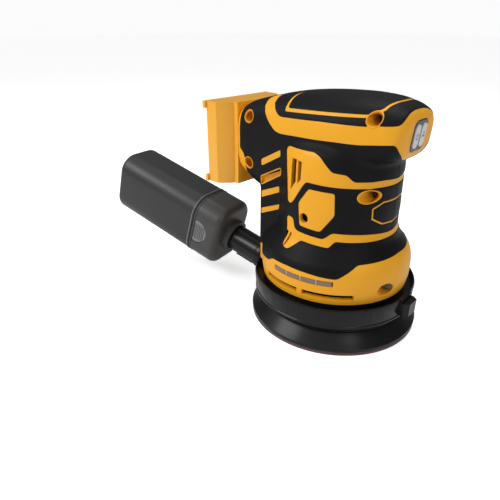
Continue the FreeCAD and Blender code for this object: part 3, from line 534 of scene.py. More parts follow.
def grip_cover(p):
    """Distance in mm from the edge of the rubber, positive on it."""
    x, away, z = p[:, 0], np.abs(p[:, 1]), p[:, 2]
    turn, reach, one = np.degrees(np.arctan2(away, x)), np.radians(np.hypot(x, away)), np.ones(len(x))
    bare = [inside_distance(turn, z, reach, softened(outline, 0.72))
            for outline in (UPPER_PANEL, HEX_PANEL, LOWER_BAND, COLLAR)]
    band = inside_distance(turn, z, reach, softened(HANDLE_BAND, 0.72))
    bare.append(np.minimum(band, np.maximum(x - 45, z - 134.6)))
    bare.append(line_distance(turn, z, reach, BADGE_LINE, 1.2))
    bare += [inside_distance(x, z, one, softened(outline, 1)) for outline in (REAR_FLANGE, TOP_FRAME)]
    bare += [inside_distance(x, z, one, softened(outline, 1, 0.8)) for outline in STRIPES]
    bare.append(inside_distance(x, z, one, softened(SPINE_VENT, 1, 0.8)) + 0.8)
    bare.append(np.minimum(inside_distance(x, away, one, REAR_CROSSING), z - 149.5))
    bare.append(np.minimum(line_distance(x, away, one, FRONT_LINE, 1.7), z - 149.5))
    for sx, sz, head, tip in CLAMP_SCREWS:
        bare.append(np.where(p[:, 1] < 0, BORE_R + BORE_RIM - np.hypot(x - sx, z - sz), -99))
    return -np.max(bare, axis=0)


def sliced(points, faces, value, level):
    """Cuts a triangle mesh along the line where value is level; returns the new mesh and its values."""
    points, value = list(points), list(value)
    made, out = {}, []

    def crossing(a, b):
        key = (min(a, b), max(a, b))
        if key not in made:
            t = (level - value[a]) / (value[b] - value[a])
            made[key] = len(points)
            points.append(points[a] + (points[b] - points[a]) * t)
            value.append(level)
        return made[key]

    for f in faces:
        up = [value[i] > level for i in f]
        low = [value[i] < level for i in f]
        if not any(up) or not any(low):
            out.append(f)
            continue
        if any(value[i] == level for i in f):
            k = [value[i] == level for i in f].index(True)
            a, b, c = f[k], f[(k + 1) % 3], f[(k + 2) % 3]
            bc = crossing(b, c)
            out += [(a, b, bc), (a, bc, c)]
            continue
        k = up.index(True) if sum(up) == 1 else up.index(False)
        a, b, c = f[k], f[(k + 1) % 3], f[(k + 2) % 3]
        ab, ac = crossing(a, b), crossing(a, c)
        out += [(a, ab, ac), (ab, b, c), (ab, c, ac)]
    return np.array(points), out, np.array(value)


skin = body_skin(GRIP_LEVEL, 28.0, 0.95)
skin.calc_loop_triangles()
skin_points = np.array([v.co for v in skin.vertices], float)
skin_faces = [tuple(t.vertices) for t in skin.loop_triangles]


def grip_half(side):
    """The skin of one half: its edge loops are rounded down and a skirt runs into the yellow shell."""
    points, faces = skin_points, skin_faces
    cover = np.minimum(grip_cover(points), side * points[:, 1] - 0.02)
    for level, height in GRIP_EDGE:
        near = [f for f in faces if max(cover[list(f)]) > -3]
        points, faces, cover = sliced(points, near, cover, level)
    faces = [f for f in faces if min(cover[list(f)]) >= 0 and max(cover[list(f)]) > 0]
    used = sorted({i for f in faces for i in f})
    new_index = {old: new for new, old in enumerate(used)}
    faces = [tuple(new_index[i] for i in f) for f in faces]
    points, cover = settle(points[used], GRIP_LEVEL, 2), cover[used]
    slope = body_slope(points)
    height = np.interp(cover, [e[0] for e in GRIP_EDGE], [e[1] for e in GRIP_EDGE])
    sides = {}
    for f in faces:
        for a, b in zip(f, f[1:] + f[:1]):
            sides[(a, b)] = True
    rim = [(a, b) for a, b in sides if (b, a) not in sides]
    rim_points = sorted({i for edge in rim for i in edge})
    root = {old: len(points) + new for new, old in enumerate(rim_points)}
    faces += [(b, a, root[a], root[b]) for a, b in rim]
    points = np.concatenate([points + slope * height[:, None],
                             points[rim_points] + slope[rim_points] * GRIP_ROOT])
    return new_mesh("grip", points, faces)


grip_rubber = moulded("fine_grained_rubber", (0.003, 0.0031, 0.0037), (0.0065, 0.0065, 0.008), 0.7, 0.42, 0.16,
                      5200, 0.00006, specular=0.12)
for side, name in ((-1, "right"), (1, "left")):
    piece = held(dress_normals(grip_half(side), GRIP_LEVEL))
    piece.name = "grip_skin_" + name
    piece.data.materials.append(grip_rubber)
    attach(piece, "housing")
    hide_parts("grip_" + name)


# ---- Yellow rims of the deep screw recesses
# Each recess on the right half keeps a thin ring of the yellow shell standing round it.
# The ring follows the curved skin and fills the hole left in the rubber.
def on_right_skin(x, z, level):
    """Where a line along Y from the right meets the body at that level."""
    x, z = np.asarray(x, float), np.asarray(z, float)
    near, far = np.full(len(x), -60.0), np.full(len(x), -60.0)
    open_still = np.ones(len(x), bool)
    for y in np.arange(-60, 0, 1.0):
        inside = body_depth(np.c_[x, np.full(len(x), y), z]) < level
        hit = inside & open_still
        near[hit], far[hit] = y - 1, y
        open_still &= ~inside
    for _ in range(18):
        middle = (near + far) / 2
        inside = body_depth(np.c_[x, middle, z]) < level
        far, near = np.where(inside, middle, far), np.where(inside, near, middle)
    return np.c_[x, far, z]


RIM_OUT = BORE_R + BORE_RIM
RIM_PROFILE = [(BORE_R + 0.02, -2.6), (BORE_R + 0.02, -0.2), (BORE_R + 0.16, -0.03), (RIM_OUT - 0.2, -0.03),
               (RIM_OUT - 0.03, -0.2), (RIM_OUT - 0.03, -1.2)]
turn = np.linspace(0, 2 * np.pi, 56, endpoint=False)
rings = []
for x, z, head, tip in CLAMP_SCREWS:
    loops = []
    for radius, height in RIM_PROFILE:
        spot = on_right_skin(x + radius * np.cos(turn), z + radius * np.sin(turn), 0.0)
        loops.append(spot + body_slope(spot) * height)
    points = np.concatenate(loops)
    faces = tube_faces(len(loops), len(turn), closed_ends=False)
    last = (len(loops) - 1) * len(turn)
    faces += [(last + b, last + (b + 1) % len(turn), (b + 1) % len(turn), b) for b in range(len(turn))]
    rings.append((points, faces))
piece = held(solid(*rings))
for face in piece.data.polygons:
    face.use_smooth = True
piece.data.transform(Matrix.Scale(MM, 4))
piece.name = "recess_rims"
piece.data.materials.append(yellow_nylon)
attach(piece, "housing")


# ---- Battery bracket
# One moulded yellow piece at the rear: two cheeks with outer lips, a roof, and rails for the battery.
# Its neck is trapped between the two halves.
def eased(node, name, radius, angle=40.0, segments=2):
    """A copy of a CAD piece, merged, with flat faces joined and its sharp edges eased."""
    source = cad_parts[node]
    work = bmesh.new()
    work.from_mesh(source.data)
    bmesh.ops.remove_doubles(work, verts=work.verts, dist=2e-6)
    bmesh.ops.recalc_face_normals(work, faces=work.faces)
    bmesh.ops.dissolve_limit(work, angle_limit=np.radians(0.8), verts=work.verts, edges=work.edges)
    for edge in work.edges:
        edge.smooth = edge.calc_face_angle(3.2) < np.radians(28)
    for face in work.faces:
        face.smooth = True
    mesh = bpy.data.meshes.new(name)
    work.to_mesh(mesh)
    work.free()
    piece = held(mesh)
    piece.name = name
    ease = piece.modifiers.new("ease", "BEVEL")
    ease.width, ease.segments, ease.limit_method = radius * MM, segments, "ANGLE"
    ease.angle_limit = np.radians(angle)
    ease.harden_normals, ease.use_clamp_overlap = True, True
    piece.data = evaluated(piece)
    piece.modifiers.clear()
    return piece


def join_model(piece, body, material, slot, *nodes):
    piece.data.materials.clear()
    piece.data.materials.append(material)
    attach(piece, body)
    if nodes:
        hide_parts(*nodes)


def repaint(node, material):
    """A CAD piece that keeps its shape gets this finish."""
    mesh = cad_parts[node].data
    mesh.materials.clear()
    mesh.materials.append(material)


yellow_gloss = moulded("smooth_yellow_plastic", (0.81, 0.38, 0.013), (0.71, 0.31, 0.008), 0.45, 0.24, 0.12,
                       1500, 0.00001, coat=0.25, coat_rough=0.15)
join_model(eased("battery_bracket", "bracket", 0.8), "housing", yellow_gloss, "yellow_bracket", "battery_bracket")

black_nylon = moulded("glass_filled_nylon", (0.018, 0.018, 0.02), (0.035, 0.035, 0.038), 0.6, 0.5, 0.15, 3500,
                      0.00004)
join_model(eased("terminal_block", "terminal_holder", 0.4), "housing", black_nylon, "black_nylon",
           "terminal_block")


def metal(name, colour, deep, rough, stretch, depth=0.00001):
    """A turned or drawn metal: fine marks drawn out along one axis."""
    material = moulded(name, colour, deep, 0.6, rough, 0.18, 3000, depth, metallic=1.0)
    nodes, links = material.node_tree.nodes, material.node_tree.links
    place, stretch_map = nodes.new("ShaderNodeTexCoord"), nodes.new("ShaderNodeMapping")
    marks, bump = nodes.new("ShaderNodeTexNoise"), nodes.new("ShaderNodeBump")
    stretch_map.inputs["Scale"].default_value = stretch
    marks.inputs["Scale"].default_value = 900.0
    bump.inputs["Distance"].default_value = depth
    bump.inputs["Strength"].default_value = 0.5
    links.new(place.outputs["Object"], stretch_map.inputs["Vector"])
    links.new(stretch_map.outputs["Vector"], marks.inputs["Vector"])
    links.new(marks.outputs["Fac"], bump.inputs["Height"])
    skin = next(n for n in nodes if n.type == "GROUP")
    links.new(skin.outputs["Normal"], bump.inputs["Normal"])
    links.new(bump.outputs["Normal"], nodes["Principled BSDF"].inputs["Normal"])
    return material


copper_blade = metal("tinned_copper", (0.72, 0.42, 0.24), (0.5, 0.27, 0.14), 0.25, (1, 1, 0.1))
repaint("terminal_blades", copper_blade)


# ---- Screws
# Blackened steel pan heads with a cross recess. Five long ones clamp the halves and the collar,
# two short ones hold the motor carrier and four hold the shroud.
screw_black = metal("blackened_screw_steel", (0.07, 0.07, 0.075), (0.16, 0.15, 0.14), 0.28, (1, 1, 1))


def node_tree(name, inputs):
    """An empty geometry tree with a mesh in, named sizes, and a mesh out."""
    tree = bpy.data.node_groups.new(name, "GeometryNodeTree")
    tree.interface.new_socket(name="Geometry", in_out="INPUT", socket_type="NodeSocketGeometry")
    for label, kind, value in inputs:
        socket = tree.interface.new_socket(name=label, in_out="INPUT", socket_type=kind)
        if value is not None:
            socket.default_value = value
    tree.interface.new_socket(name="Geometry", in_out="OUTPUT", socket_type="NodeSocketGeometry")
    return tree, tree.nodes.new("NodeGroupInput"), tree.nodes.new("NodeGroupOutput")


def wire(tree, pairs):
    for (source, out), (target, into) in pairs:
        tree.links.new(source.outputs[out], target.inputs[into])


def grown(name, mesh, tree, values):
    """Runs a geometry tree on a mesh with these input values and keeps the plain result."""
    piece = held(mesh)
    step = piece.modifiers.new("grow", "NODES")
    step.node_group = tree
    for item in tree.interface.items_tree:
        if item.in_out == "INPUT" and item.name in values:
            step[item.identifier] = values[item.name]
    piece.data = evaluated(piece)
    piece.modifiers.clear()
    piece.name = name
    return piece


def screw_tree():
    tree, given, made = node_tree("screws", [
        ("Head Radius", "NodeSocketFloat", 0.0033), ("Head Height", "NodeSocketFloat", 0.0024),
        ("Shank Radius", "NodeSocketFloat", 0.0019), ("Material", "NodeSocketMaterial", None)])
    new = tree.nodes.new
    body, shank = new("GeometryNodeMeshCylinder"), new("GeometryNodeMeshCylinder")
    dome = new("GeometryNodeMeshCone")
    for part, sides in ((body, 28), (dome, 28), (shank, 16)):
        part.inputs["Vertices"].default_value = sides
    slot_a, slot_b = new("GeometryNodeMeshCube"), new("GeometryNodeMeshCube")
    halved, top_radius, lower, upper, rest = [new("ShaderNodeMath") for _ in range(5)]
    for node, share in ((halved, 0.6), (top_radius, 0.8), (lower, -0.7), (upper, -0.4), (rest, 0.4)):
        node.operation = "MULTIPLY"
        node.inputs[1].default_value = share
    wire(tree, [((given, "Head Height"), (halved, 0)), ((given, "Head Radius"), (top_radius, 0)),
                ((given, "Head Height"), (lower, 0)), ((given, "Head Height"), (upper, 0)),
                ((given, "Head Radius"), (body, "Radius")), ((halved, 0), (body, "Depth")),
                ((given, "Head Radius"), (dome, "Radius Bottom")), ((top_radius, 0), (dome, "Radius Top")),
                ((given, "Shank Radius"), (shank, "Radius")), ((given, "Head Height"), (rest, 0)),
                ((rest, 0), (dome, "Depth"))])
    shank.inputs["Depth"].default_value = 1.0
    place_body, place_dome = new("GeometryNodeTransform"), new("GeometryNodeTransform")
    offsets = [new("ShaderNodeCombineXYZ") for _ in range(2)]
    wire(tree, [((lower, 0), (offsets[0], "Z")), ((upper, 0), (offsets[1], "Z")),
                ((body, "Mesh"), (place_body, "Geometry")), ((dome, "Mesh"), (place_dome, "Geometry")),
                ((offsets[0], "Vector"), (place_body, "Translation")),
                ((offsets[1], "Vector"), (place_dome, "Translation"))])
    recess = new("GeometryNodeJoinGeometry")
    for cube, turned in ((slot_a, 0.0), (slot_b, np.pi / 2)):
        cube.inputs["Size"].default_value = (0.0034, 0.0007, 0.003)
        spin = new("GeometryNodeTransform")
        spin.inputs["Rotation"].default_value = (0, 0, turned)
        wire(tree, [((cube, "Mesh"), (spin, "Geometry")), ((spin, "Geometry"), (recess, "Geometry"))])
    head = new("GeometryNodeJoinGeometry")
    wire(tree, [((place_body, "Geometry"), (head, "Geometry")), ((place_dome, "Geometry"), (head, "Geometry"))])
    carve = new("GeometryNodeMeshBoolean")
    carve.operation = "DIFFERENCE"
    wire(tree, [((head, "Geometry"), (carve, "Mesh 1")), ((recess, "Geometry"), (carve, "Mesh 2"))])
    along, length = new("GeometryNodeInputNamedAttribute"), new("GeometryNodeInputNamedAttribute")
    along.data_type, length.data_type = "FLOAT_VECTOR", "FLOAT"
    along.inputs["Name"].default_value, length.inputs["Name"].default_value = "out_of_seat", "length"
    align = new("FunctionNodeAlignRotationToVector")
    align.axis = "Z"
    wire(tree, [((along, "Attribute"), (align, "Vector"))])
    heads, shanks = new("GeometryNodeInstanceOnPoints"), new("GeometryNodeInstanceOnPoints")
    stretch = new("ShaderNodeCombineXYZ")
    stretch.inputs["X"].default_value = stretch.inputs["Y"].default_value = 1.0
    down = new("GeometryNodeTransform")
    down.inputs["Translation"].default_value = (0, 0, -0.5)
    wire(tree, [((given, "Geometry"), (heads, "Points")), ((carve, "Mesh"), (heads, "Instance")),
                ((align, "Rotation"), (heads, "Rotation")), ((given, "Geometry"), (shanks, "Points")),
                ((shank, "Mesh"), (down, "Geometry")), ((down, "Geometry"), (shanks, "Instance")),
                ((align, "Rotation"), (shanks, "Rotation")), ((length, "Attribute"), (stretch, "Z")),
                ((stretch, "Vector"), (shanks, "Scale"))])
    whole, real, paint = (new("GeometryNodeJoinGeometry"), new("GeometryNodeRealizeInstances"),
                          new("GeometryNodeSetMaterial"))
    wire(tree, [((heads, "Instances"), (whole, "Geometry")), ((shanks, "Instances"), (whole, "Geometry")),
                ((whole, "Geometry"), (real, "Geometry")), ((real, "Geometry"), (paint, "Geometry")),
                ((given, "Material"), (paint, "Material")), ((paint, "Geometry"), (made, "Geometry"))])
    return tree


def screws(name, spots, head_radius, head_height, shank_radius):
    """spots: where the top of each head is, which way it faces, and the length under the head, in mm."""
    mesh = new_mesh(name, [Vector(at) * MM for at, out, length in spots], [])
    facing = mesh.attributes.new("out_of_seat", "FLOAT_VECTOR", "POINT")
    facing.data.foreach_set("vector", np.array([tuple(out) for at, out, length in spots], float).ravel())
    reach = mesh.attributes.new("length", "FLOAT", "POINT")
    reach.data.foreach_set("value", [length * MM for at, out, length in spots])
    piece = grown(name, mesh, screws_grow, {"Head Radius": head_radius * MM, "Head Height": head_height * MM,
                                            "Shank Radius": shank_radius * MM, "Material": screw_black})
    for edge in piece.data.edges:
        edge.use_edge_sharp = True
    return piece


screws_grow = screw_tree()
long_spots = [((x, head - 2.4, z), (0, -1, 0), tip - head + 2.0) for x, z, head, tip in CLAMP_SCREWS]
long_spots.append((COLLAR_SCREW_AT - COLLAR_SCREW_OUT * 6.8, COLLAR_SCREW_OUT, 5.4))
join_model(screws("long_screws", long_spots, 3.3, 2.4, 1.9), "housing", screw_black, "screw_steel",
           "housing_screws")
short_spots = [((HEX_SCREW[0], side * 36.5, HEX_SCREW[1]), (0, side, 0), 7.0) for side in (-1, 1)]
join_model(screws("short_screws", short_spots, 2.8, 2.0, 1.9), "housing", screw_black, "screw_steel",
           "carrier_screws")
SHROUD_SCREW_R = 48.2
shroud_spots = [((SHROUD_SCREW_R * np.cos(a), SHROUD_SCREW_R * np.sin(a), 25), (0, 0, -1), 17.0)
                for a in np.radians((55, 125, 235, 305))]
join_model(screws("shroud_fixings", shroud_spots, 3.0, 2.0, 1.9), "housing", screw_black, "screw_steel",
           "shroud_screws")


# ---- Collar lamps
# A smoked clear strip in the collar on each side, moulded in four panes with pale dividers
# and held in its slot by the yellow wall.
smoked_lens = moulded("smoked_lens", (0.20, 0.115, 0.075), (0.13, 0.075, 0.05), 0.8, 0.16, 0.1, 900, 0.00001,
                      coat=0.5, coat_rough=0.05)
divider_plastic = moulded("milky_divider", (0.46, 0.30, 0.19), (0.36, 0.22, 0.13), 0.5, 0.35, 0.1, 900, 0.00001)
# radii in mm; the gap is in mm and degrees, and the divider's half width in degrees
LENS_IN, PANE_OUT, DIVIDER_OUT, LENS_GAP, DIVIDER_HALF, PANES = 51.1, 54.25, 53.9, 0.15, 0.8, 4
for side, name in ((-1, "right"), (1, "left")):
    start, end = LENS_ARC[0] + LENS_GAP, LENS_ARC[1] - LENS_GAP
    z0, z1 = LENS_Z0 + LENS_GAP, LENS_Z1 - LENS_GAP
    edges = [start + i * (end - start) / PANES for i in range(PANES + 1)]
    panes = [arc_block(LENS_IN, PANE_OUT, side * (a + DIVIDER_HALF), side * (b - DIVIDER_HALF), z0, z1, 10)
             for a, b in zip(edges, edges[1:])]
    dividers = [arc_block(LENS_IN, DIVIDER_OUT, side * (a + DIVIDER_HALF), side * (a - DIVIDER_HALF), z0, z1, 4)
                for a in edges[1:-1]]
    for parts, label, finish, nodes in ((panes, "lens_panes_", smoked_lens, ["light_lens_" + name]),
                                        (dividers, "lens_dividers_", divider_plastic, [])):
        piece = held(solid(*parts))
        piece.data.transform(Matrix.Scale(MM, 4))
        piece.name = label + name
        ease = piece.modifiers.new("ease", "BEVEL")
        ease.width, ease.segments, ease.angle_limit = 0.25 * MM, 2, np.radians(50)
        piece.data = evaluated(piece)
        piece.modifiers.clear()
        join_model(piece, "housing", finish, "smoked_lens", *nodes)


# ---- Button panel and its two buttons
# A dark satin plate sits in a pocket in the nose; two white oval caps come through it,
# one to switch on and off, one to step through the speeds. Their marks are printed in grey.
panel_dark = moulded("dark_panel_plastic", (0.022, 0.022, 0.024), (0.04, 0.04, 0.042), 0.6, 0.3, 0.12, 2400,
                     0.00002, coat=0.3, coat_rough=0.2)
join_model(eased("button_panel", "nose_panel", 0.5, 50), "housing", panel_dark, "panel_grey", "button_panel")
button_white = moulded("white_button_plastic", (0.62, 0.62, 0.62), (0.5, 0.5, 0.5), 0.6, 0.35, 0.1, 1600, 0.00001,
                       coat=0.2)
for node, name, body in (("power_button", "power_cap", "power_key"),
                         ("speed_button", "speed_cap", "speed_key")):
    join_model(eased(node, name, 0.25, 50), body, button_white, "button_white", node)
mark_grey = moulded("printed_mark_grey", (0.05, 0.05, 0.05), (0.09, 0.09, 0.09), 0.5, 0.5, 0.1, 2500, 0.00001)


def mark(shapes, across, depth0=0.3, depth1=0.53):
    """Thin printed shapes on a cap; each shape is a closed outline of across and up."""
    parts = []
    for outline in shapes:
        n = len(outline)
        points = [on_nose(depth0, across + a, u) for a, u in outline]
        points += [on_nose(depth1, across + a, u) for a, u in outline]
        parts.append((points, tube_faces(2, n)))
    mesh = solid(*parts)
    mesh.transform(Matrix.Scale(MM, 4))
    return held(mesh)


def arc_stroke(radius, width, a0, a1, steps=18):
    angles = np.radians(np.linspace(a0, a1, steps))
    return ([((radius + width / 2) * np.cos(a), (radius + width / 2) * np.sin(a)) for a in angles]
            + [((radius - width / 2) * np.cos(a), (radius - width / 2) * np.sin(a)) for a in angles[::-1]])


BUTTON_Y = 4.1
power_mark = mark([arc_stroke(1.7, 0.5, 120, 420), [(-0.28, 0.2), (0.28, 0.2), (0.28, 2.3), (-0.28, 2.3)]],
                  -BUTTON_Y)
power_mark.name = "power_mark"
join_model(power_mark, "power_key", mark_grey, "button_white")
VANE = ((0.5, -0.25), (1.4, -0.85), (2.1, -0.5), (2.0, 0.35), (1.1, 0.4))
vanes = []
for a in np.radians((90, 210, 330)):
    swing = np.array([[np.cos(a), -np.sin(a)], [np.sin(a), np.cos(a)]])
    vanes.append([tuple(swing @ np.array(p)) for p in VANE])
speed_mark = mark(vanes + [arc_stroke(0.3, 0.4, 0, 340)], BUTTON_Y)
speed_mark.name = "speed_mark"
join_model(speed_mark, "speed_key", mark_grey, "button_white")


# ---- Dust shroud with its nozzle, and the brake ring under it
# Glossy black moulded skirt screwed up under the collar; the nozzle grows out of its rear.
# The soft ring under it rubs on the pad, so that the pad doesn't race when it is lifted.
shroud_gloss = moulded("glossy_black_shroud", (0.0045, 0.0045, 0.005), (0.009, 0.009, 0.0095), 0.6, 0.2, 0.12,
                       700, 0.00003, coat=0.1, coat_rough=0.12, specular=0.16)
join_model(eased("dust_shroud", "shroud_skirt", 0.35, 45), "housing", shroud_gloss, "shroud_black",
           "dust_shroud")
soft_black = moulded("soft_black_rubber", (0.01, 0.01, 0.01), (0.03, 0.03, 0.03), 0.6, 0.6, 0.15, 3000, 0.00006)
for node in ("brake_ring", "box_seal"):
    repaint(node, soft_black)


# ---- Sanding pad
# Tapered black polyurethane moulded onto a hard plate, with the hook face glued below;
# eight dust holes run through, and one centre screw draws it onto the spindle.
pad_gloss = moulded("moulded_pad_skin", (0.0045, 0.0045, 0.005), (0.012, 0.012, 0.0125), 0.7, 0.24, 0.16, 420,
                    0.00004, coat=0.08, coat_rough=0.18, specular=0.16)
join_model(eased("pad_foam", "pad_body", 0.45, 35), "pad", pad_gloss, "pad_foam", "pad_foam")
join_model(eased("pad_plate", "pad_backing", 0.4, 40), "pad", shroud_gloss, "pad_black", "pad_plate")
hook_black = moulded("hook_tape", (0.012, 0.012, 0.012), (0.07, 0.07, 0.07), 0.9, 0.8, 0.1, 2600, 0.0002,
                     sheen=0.3)
repaint("hook_face", hook_black)


# ---- Abrasive disc
# Maroon aluminium oxide grit on a cloth backing with a loop face, punched with the pad's eight holes.
# It clings to the pad's hook tape and peels off when it is worn.
grit_maroon = moulded("maroon_grit", (0.20, 0.035, 0.04), (0.36, 0.10, 0.10), 0.7, 0.75, 0.15, 1500, 0.0003)
grit_nodes, grit_links = grit_maroon.node_tree.nodes, grit_maroon.node_tree.links
speck, speck_place, speck_ramp = (grit_nodes.new("ShaderNodeTexVoronoi"), grit_nodes.new("ShaderNodeTexCoord"),
                                  grit_nodes.new("ShaderNodeValToRGB"))
speck.inputs["Scale"].default_value = 1400.0
speck_ramp.color_ramp.elements[0].color = (0.42, 0.16, 0.15, 1)
speck_ramp.color_ramp.elements[1].color = (0.13, 0.02, 0.025, 1)
speck_ramp.color_ramp.elements[1].position = 0.55
grit_links.new(speck_place.outputs["Object"], speck.inputs["Vector"])
grit_links.new(speck.outputs["Distance"], speck_ramp.inputs["Fac"])
grit_links.new(speck_ramp.outputs["Color"], grit_nodes["Principled BSDF"].inputs["Base Color"])
repaint("abrasive_disc", grit_maroon)


# ---- Dust box, its cover and the two latch pads
# Satin dark grey box over a lighter grey cover that sleeves onto the nozzle; ribbed half-moon pads
# in the cover's sides are squeezed to let the box go.
NOZZLE_AZIMUTH, NOZZLE_RISE = np.radians(190), np.radians(17)
NOZZLE_SPOT = Vector((60 * np.cos(NOZZLE_AZIMUTH), 60 * np.sin(NOZZLE_AZIMUTH), 27.5))
nozzle_place = (Matrix.Scale(MM, 4) @ Matrix.Translation(NOZZLE_SPOT) @ Matrix.Rotation(NOZZLE_AZIMUTH, 4, "Z")
                @ Matrix.Rotation(-NOZZLE_RISE, 4, "Y"))
box_grey = moulded("dark_grey_box_plastic", (0.023, 0.023, 0.0235), (0.036, 0.036, 0.037), 0.6, 0.36, 0.14,
                   2200, 0.00003, coat=0.08, coat_rough=0.3, specular=0.25)
cover_grey = moulded("grey_cover_plastic", (0.046, 0.045, 0.0445), (0.062, 0.061, 0.06), 0.6, 0.34, 0.14, 2200,
                     0.00003, coat=0.08, coat_rough=0.3, specular=0.25)
# Light grey of the latch pads. The box's rim bead is painted with it too, as a painted highlight for the bright line
# along that bead.
latch_grey = moulded("latch_plastic_and_painted_bead_highlight", (0.13, 0.13, 0.132), (0.2, 0.2, 0.2), 0.6, 0.3, 0.1, 1800, 0.00002,
                     coat=0.15)
join_model(eased("dust_box", "dust_bin", 0.5, 50), "box", box_grey, "box_grey", "dust_box")
join_model(eased("dust_box_cover", "bin_cover", 0.5, 50), "cover", cover_grey, "box_cover_grey",
           "dust_box_cover")
for node, name, body in (("box_latch_right", "latch_pad_right", "latch_right"),
                         ("box_latch_left", "latch_pad_left", "latch_left")):
    join_model(eased(node, name, 0.2, 50), body, latch_grey, "latch_grey", node)


def bead_tree():
    """A round bead along a rounded rectangle."""
    tree, given, made = node_tree("bead", [
        ("Width", "NodeSocketFloat", 0.046), ("Height", "NodeSocketFloat", 0.054),
        ("Corner", "NodeSocketFloat", 0.015), ("Bead Radius", "NodeSocketFloat", 0.0006),
        ("Material", "NodeSocketMaterial", None)])
    new = tree.nodes.new
    outline, corner, section = (new("GeometryNodeCurvePrimitiveQuadrilateral"), new("GeometryNodeFilletCurve"),
                                new("GeometryNodeCurvePrimitiveCircle"))
    corner.mode = "POLY"
    corner.inputs["Count"].default_value = 12
    section.inputs["Resolution"].default_value = 12
    sweep, real, paint, smooth = (new("GeometryNodeCurveToMesh"), new("GeometryNodeRealizeInstances"),
                                  new("GeometryNodeSetMaterial"), new("GeometryNodeSetShadeSmooth"))
    wire(tree, [((given, "Width"), (outline, "Width")), ((given, "Height"), (outline, "Height")),
                ((outline, "Curve"), (corner, "Curve")), ((given, "Corner"), (corner, "Radius")),
                ((given, "Bead Radius"), (section, "Radius")), ((corner, "Curve"), (sweep, "Curve")),
                ((section, "Curve"), (sweep, "Profile Curve")), ((sweep, "Mesh"), (smooth, "Geometry")),
                ((smooth, "Geometry"), (real, "Geometry")), ((real, "Geometry"), (paint, "Geometry")),
                ((given, "Material"), (paint, "Material")), ((paint, "Geometry"), (made, "Geometry"))])
    return tree


beads = bead_tree()
stand_up = Matrix.Rotation(np.pi / 2, 4, "Z") @ Matrix.Rotation(np.pi / 2, 4, "X")
BEAD_HALF_WIDTH, BEAD_HALF_HEIGHT, BEAD_CORNER = 23.0, 27.0, 15.0
# The bead round the box rim gets the light latch grey, a painted highlight on a dark box; the cover's bead keeps the
# cover grey.
for name, along, body, finish, slot_name, radius in (
        ("bin_bead", 64.6, "box", latch_grey, "box_grey", 0.55),
        ("cover_bead", 61.0, "cover", cover_grey, "box_cover_grey", 0.45)):
    piece = grown(name, new_mesh(name, [(0, 0, 0)], []), beads, {
        "Width": 2 * BEAD_HALF_WIDTH * MM, "Height": 2 * BEAD_HALF_HEIGHT * MM, "Corner": BEAD_CORNER * MM,
        "Bead Radius": radius * MM, "Material": finish})
    piece.data.transform(nozzle_place @ Matrix.Translation((along, 0, 0)) @ Matrix.Scale(1 / MM, 4) @ stand_up)
    join_model(piece, body, finish, slot_name)


# ---- Pieces inside: drive, board, wires, filter
# Turned, pressed, wound and moulded pieces that the shell hides. They keep their plain shapes
# and only get their finishes.
for node in ("stator_carrier", "bearing_plate", "bearing_bridge", "fan", "filter_frame"):
    repaint(node, black_nylon)
bearing_steel = metal("ground_bearing_steel", (0.62, 0.62, 0.63), (0.5, 0.5, 0.5), 0.16, (1, 1, 14))
for node in ("lower_bearing_outer", "lower_bearing_inner", "upper_bearing_outer", "upper_bearing_inner",
             "pad_bearing_outer", "pad_bearing_inner", "motor_shaft", "pad_spindle"):
    repaint(node, bearing_steel)
spring_steel = metal("spring_steel", (0.5, 0.5, 0.51), (0.36, 0.36, 0.37), 0.24, (1, 1, 1))
for node in ("switch_domes", "spindle_clip", "pad_washer", "pad_screw"):
    repaint(node, spring_steel)
core_steel = metal("laminated_core_steel", (0.32, 0.33, 0.35), (0.2, 0.2, 0.22), 0.34, (0.2, 0.2, 3.0), 0.00004)
for node in ("stator_core", "rotor_magnet"):
    repaint(node, core_steel)
for node, name, colour, deep, rough, stretch, depth in (
        ("stator_windings", "enamelled_copper_wire", (0.52, 0.2, 0.08), (0.33, 0.11, 0.04), 0.3, (1, 1, 2.5), 0.0001),
        ("eccentric_hub", "die_cast_hub", (0.55, 0.55, 0.56), (0.4, 0.4, 0.41), 0.38, (1, 1, 1), 0.00003),
        ("counterweight", "sintered_iron", (0.2, 0.2, 0.205), (0.12, 0.115, 0.11), 0.5, (1, 1, 1), 0.00005),
        ("heat_sink", "extruded_aluminium", (0.62, 0.63, 0.64), (0.5, 0.5, 0.51), 0.3, (1, 1, 0.08), 0.00001)):
    repaint(node, metal(name, colour, deep, rough, stretch, depth))
board_green = moulded("solder_masked_board", (0.01, 0.09, 0.045), (0.006, 0.05, 0.026), 0.7, 0.3, 0.12, 700,
                      0.00004, coat=0.3)
for node in ("controller_board", "switch_board"):
    repaint(node, board_green)
repaint("wire_harness", moulded("wire_insulation", (0.36, 0.02, 0.018), (0.24, 0.012, 0.01), 0.5, 0.4, 0.1,
                                1200, 0.00002))
repaint("dust_filter", moulded("pleated_filter_paper", (0.66, 0.63, 0.55), (0.5, 0.46, 0.38), 0.8, 0.85, 0.1,
                               1800, 0.00015))


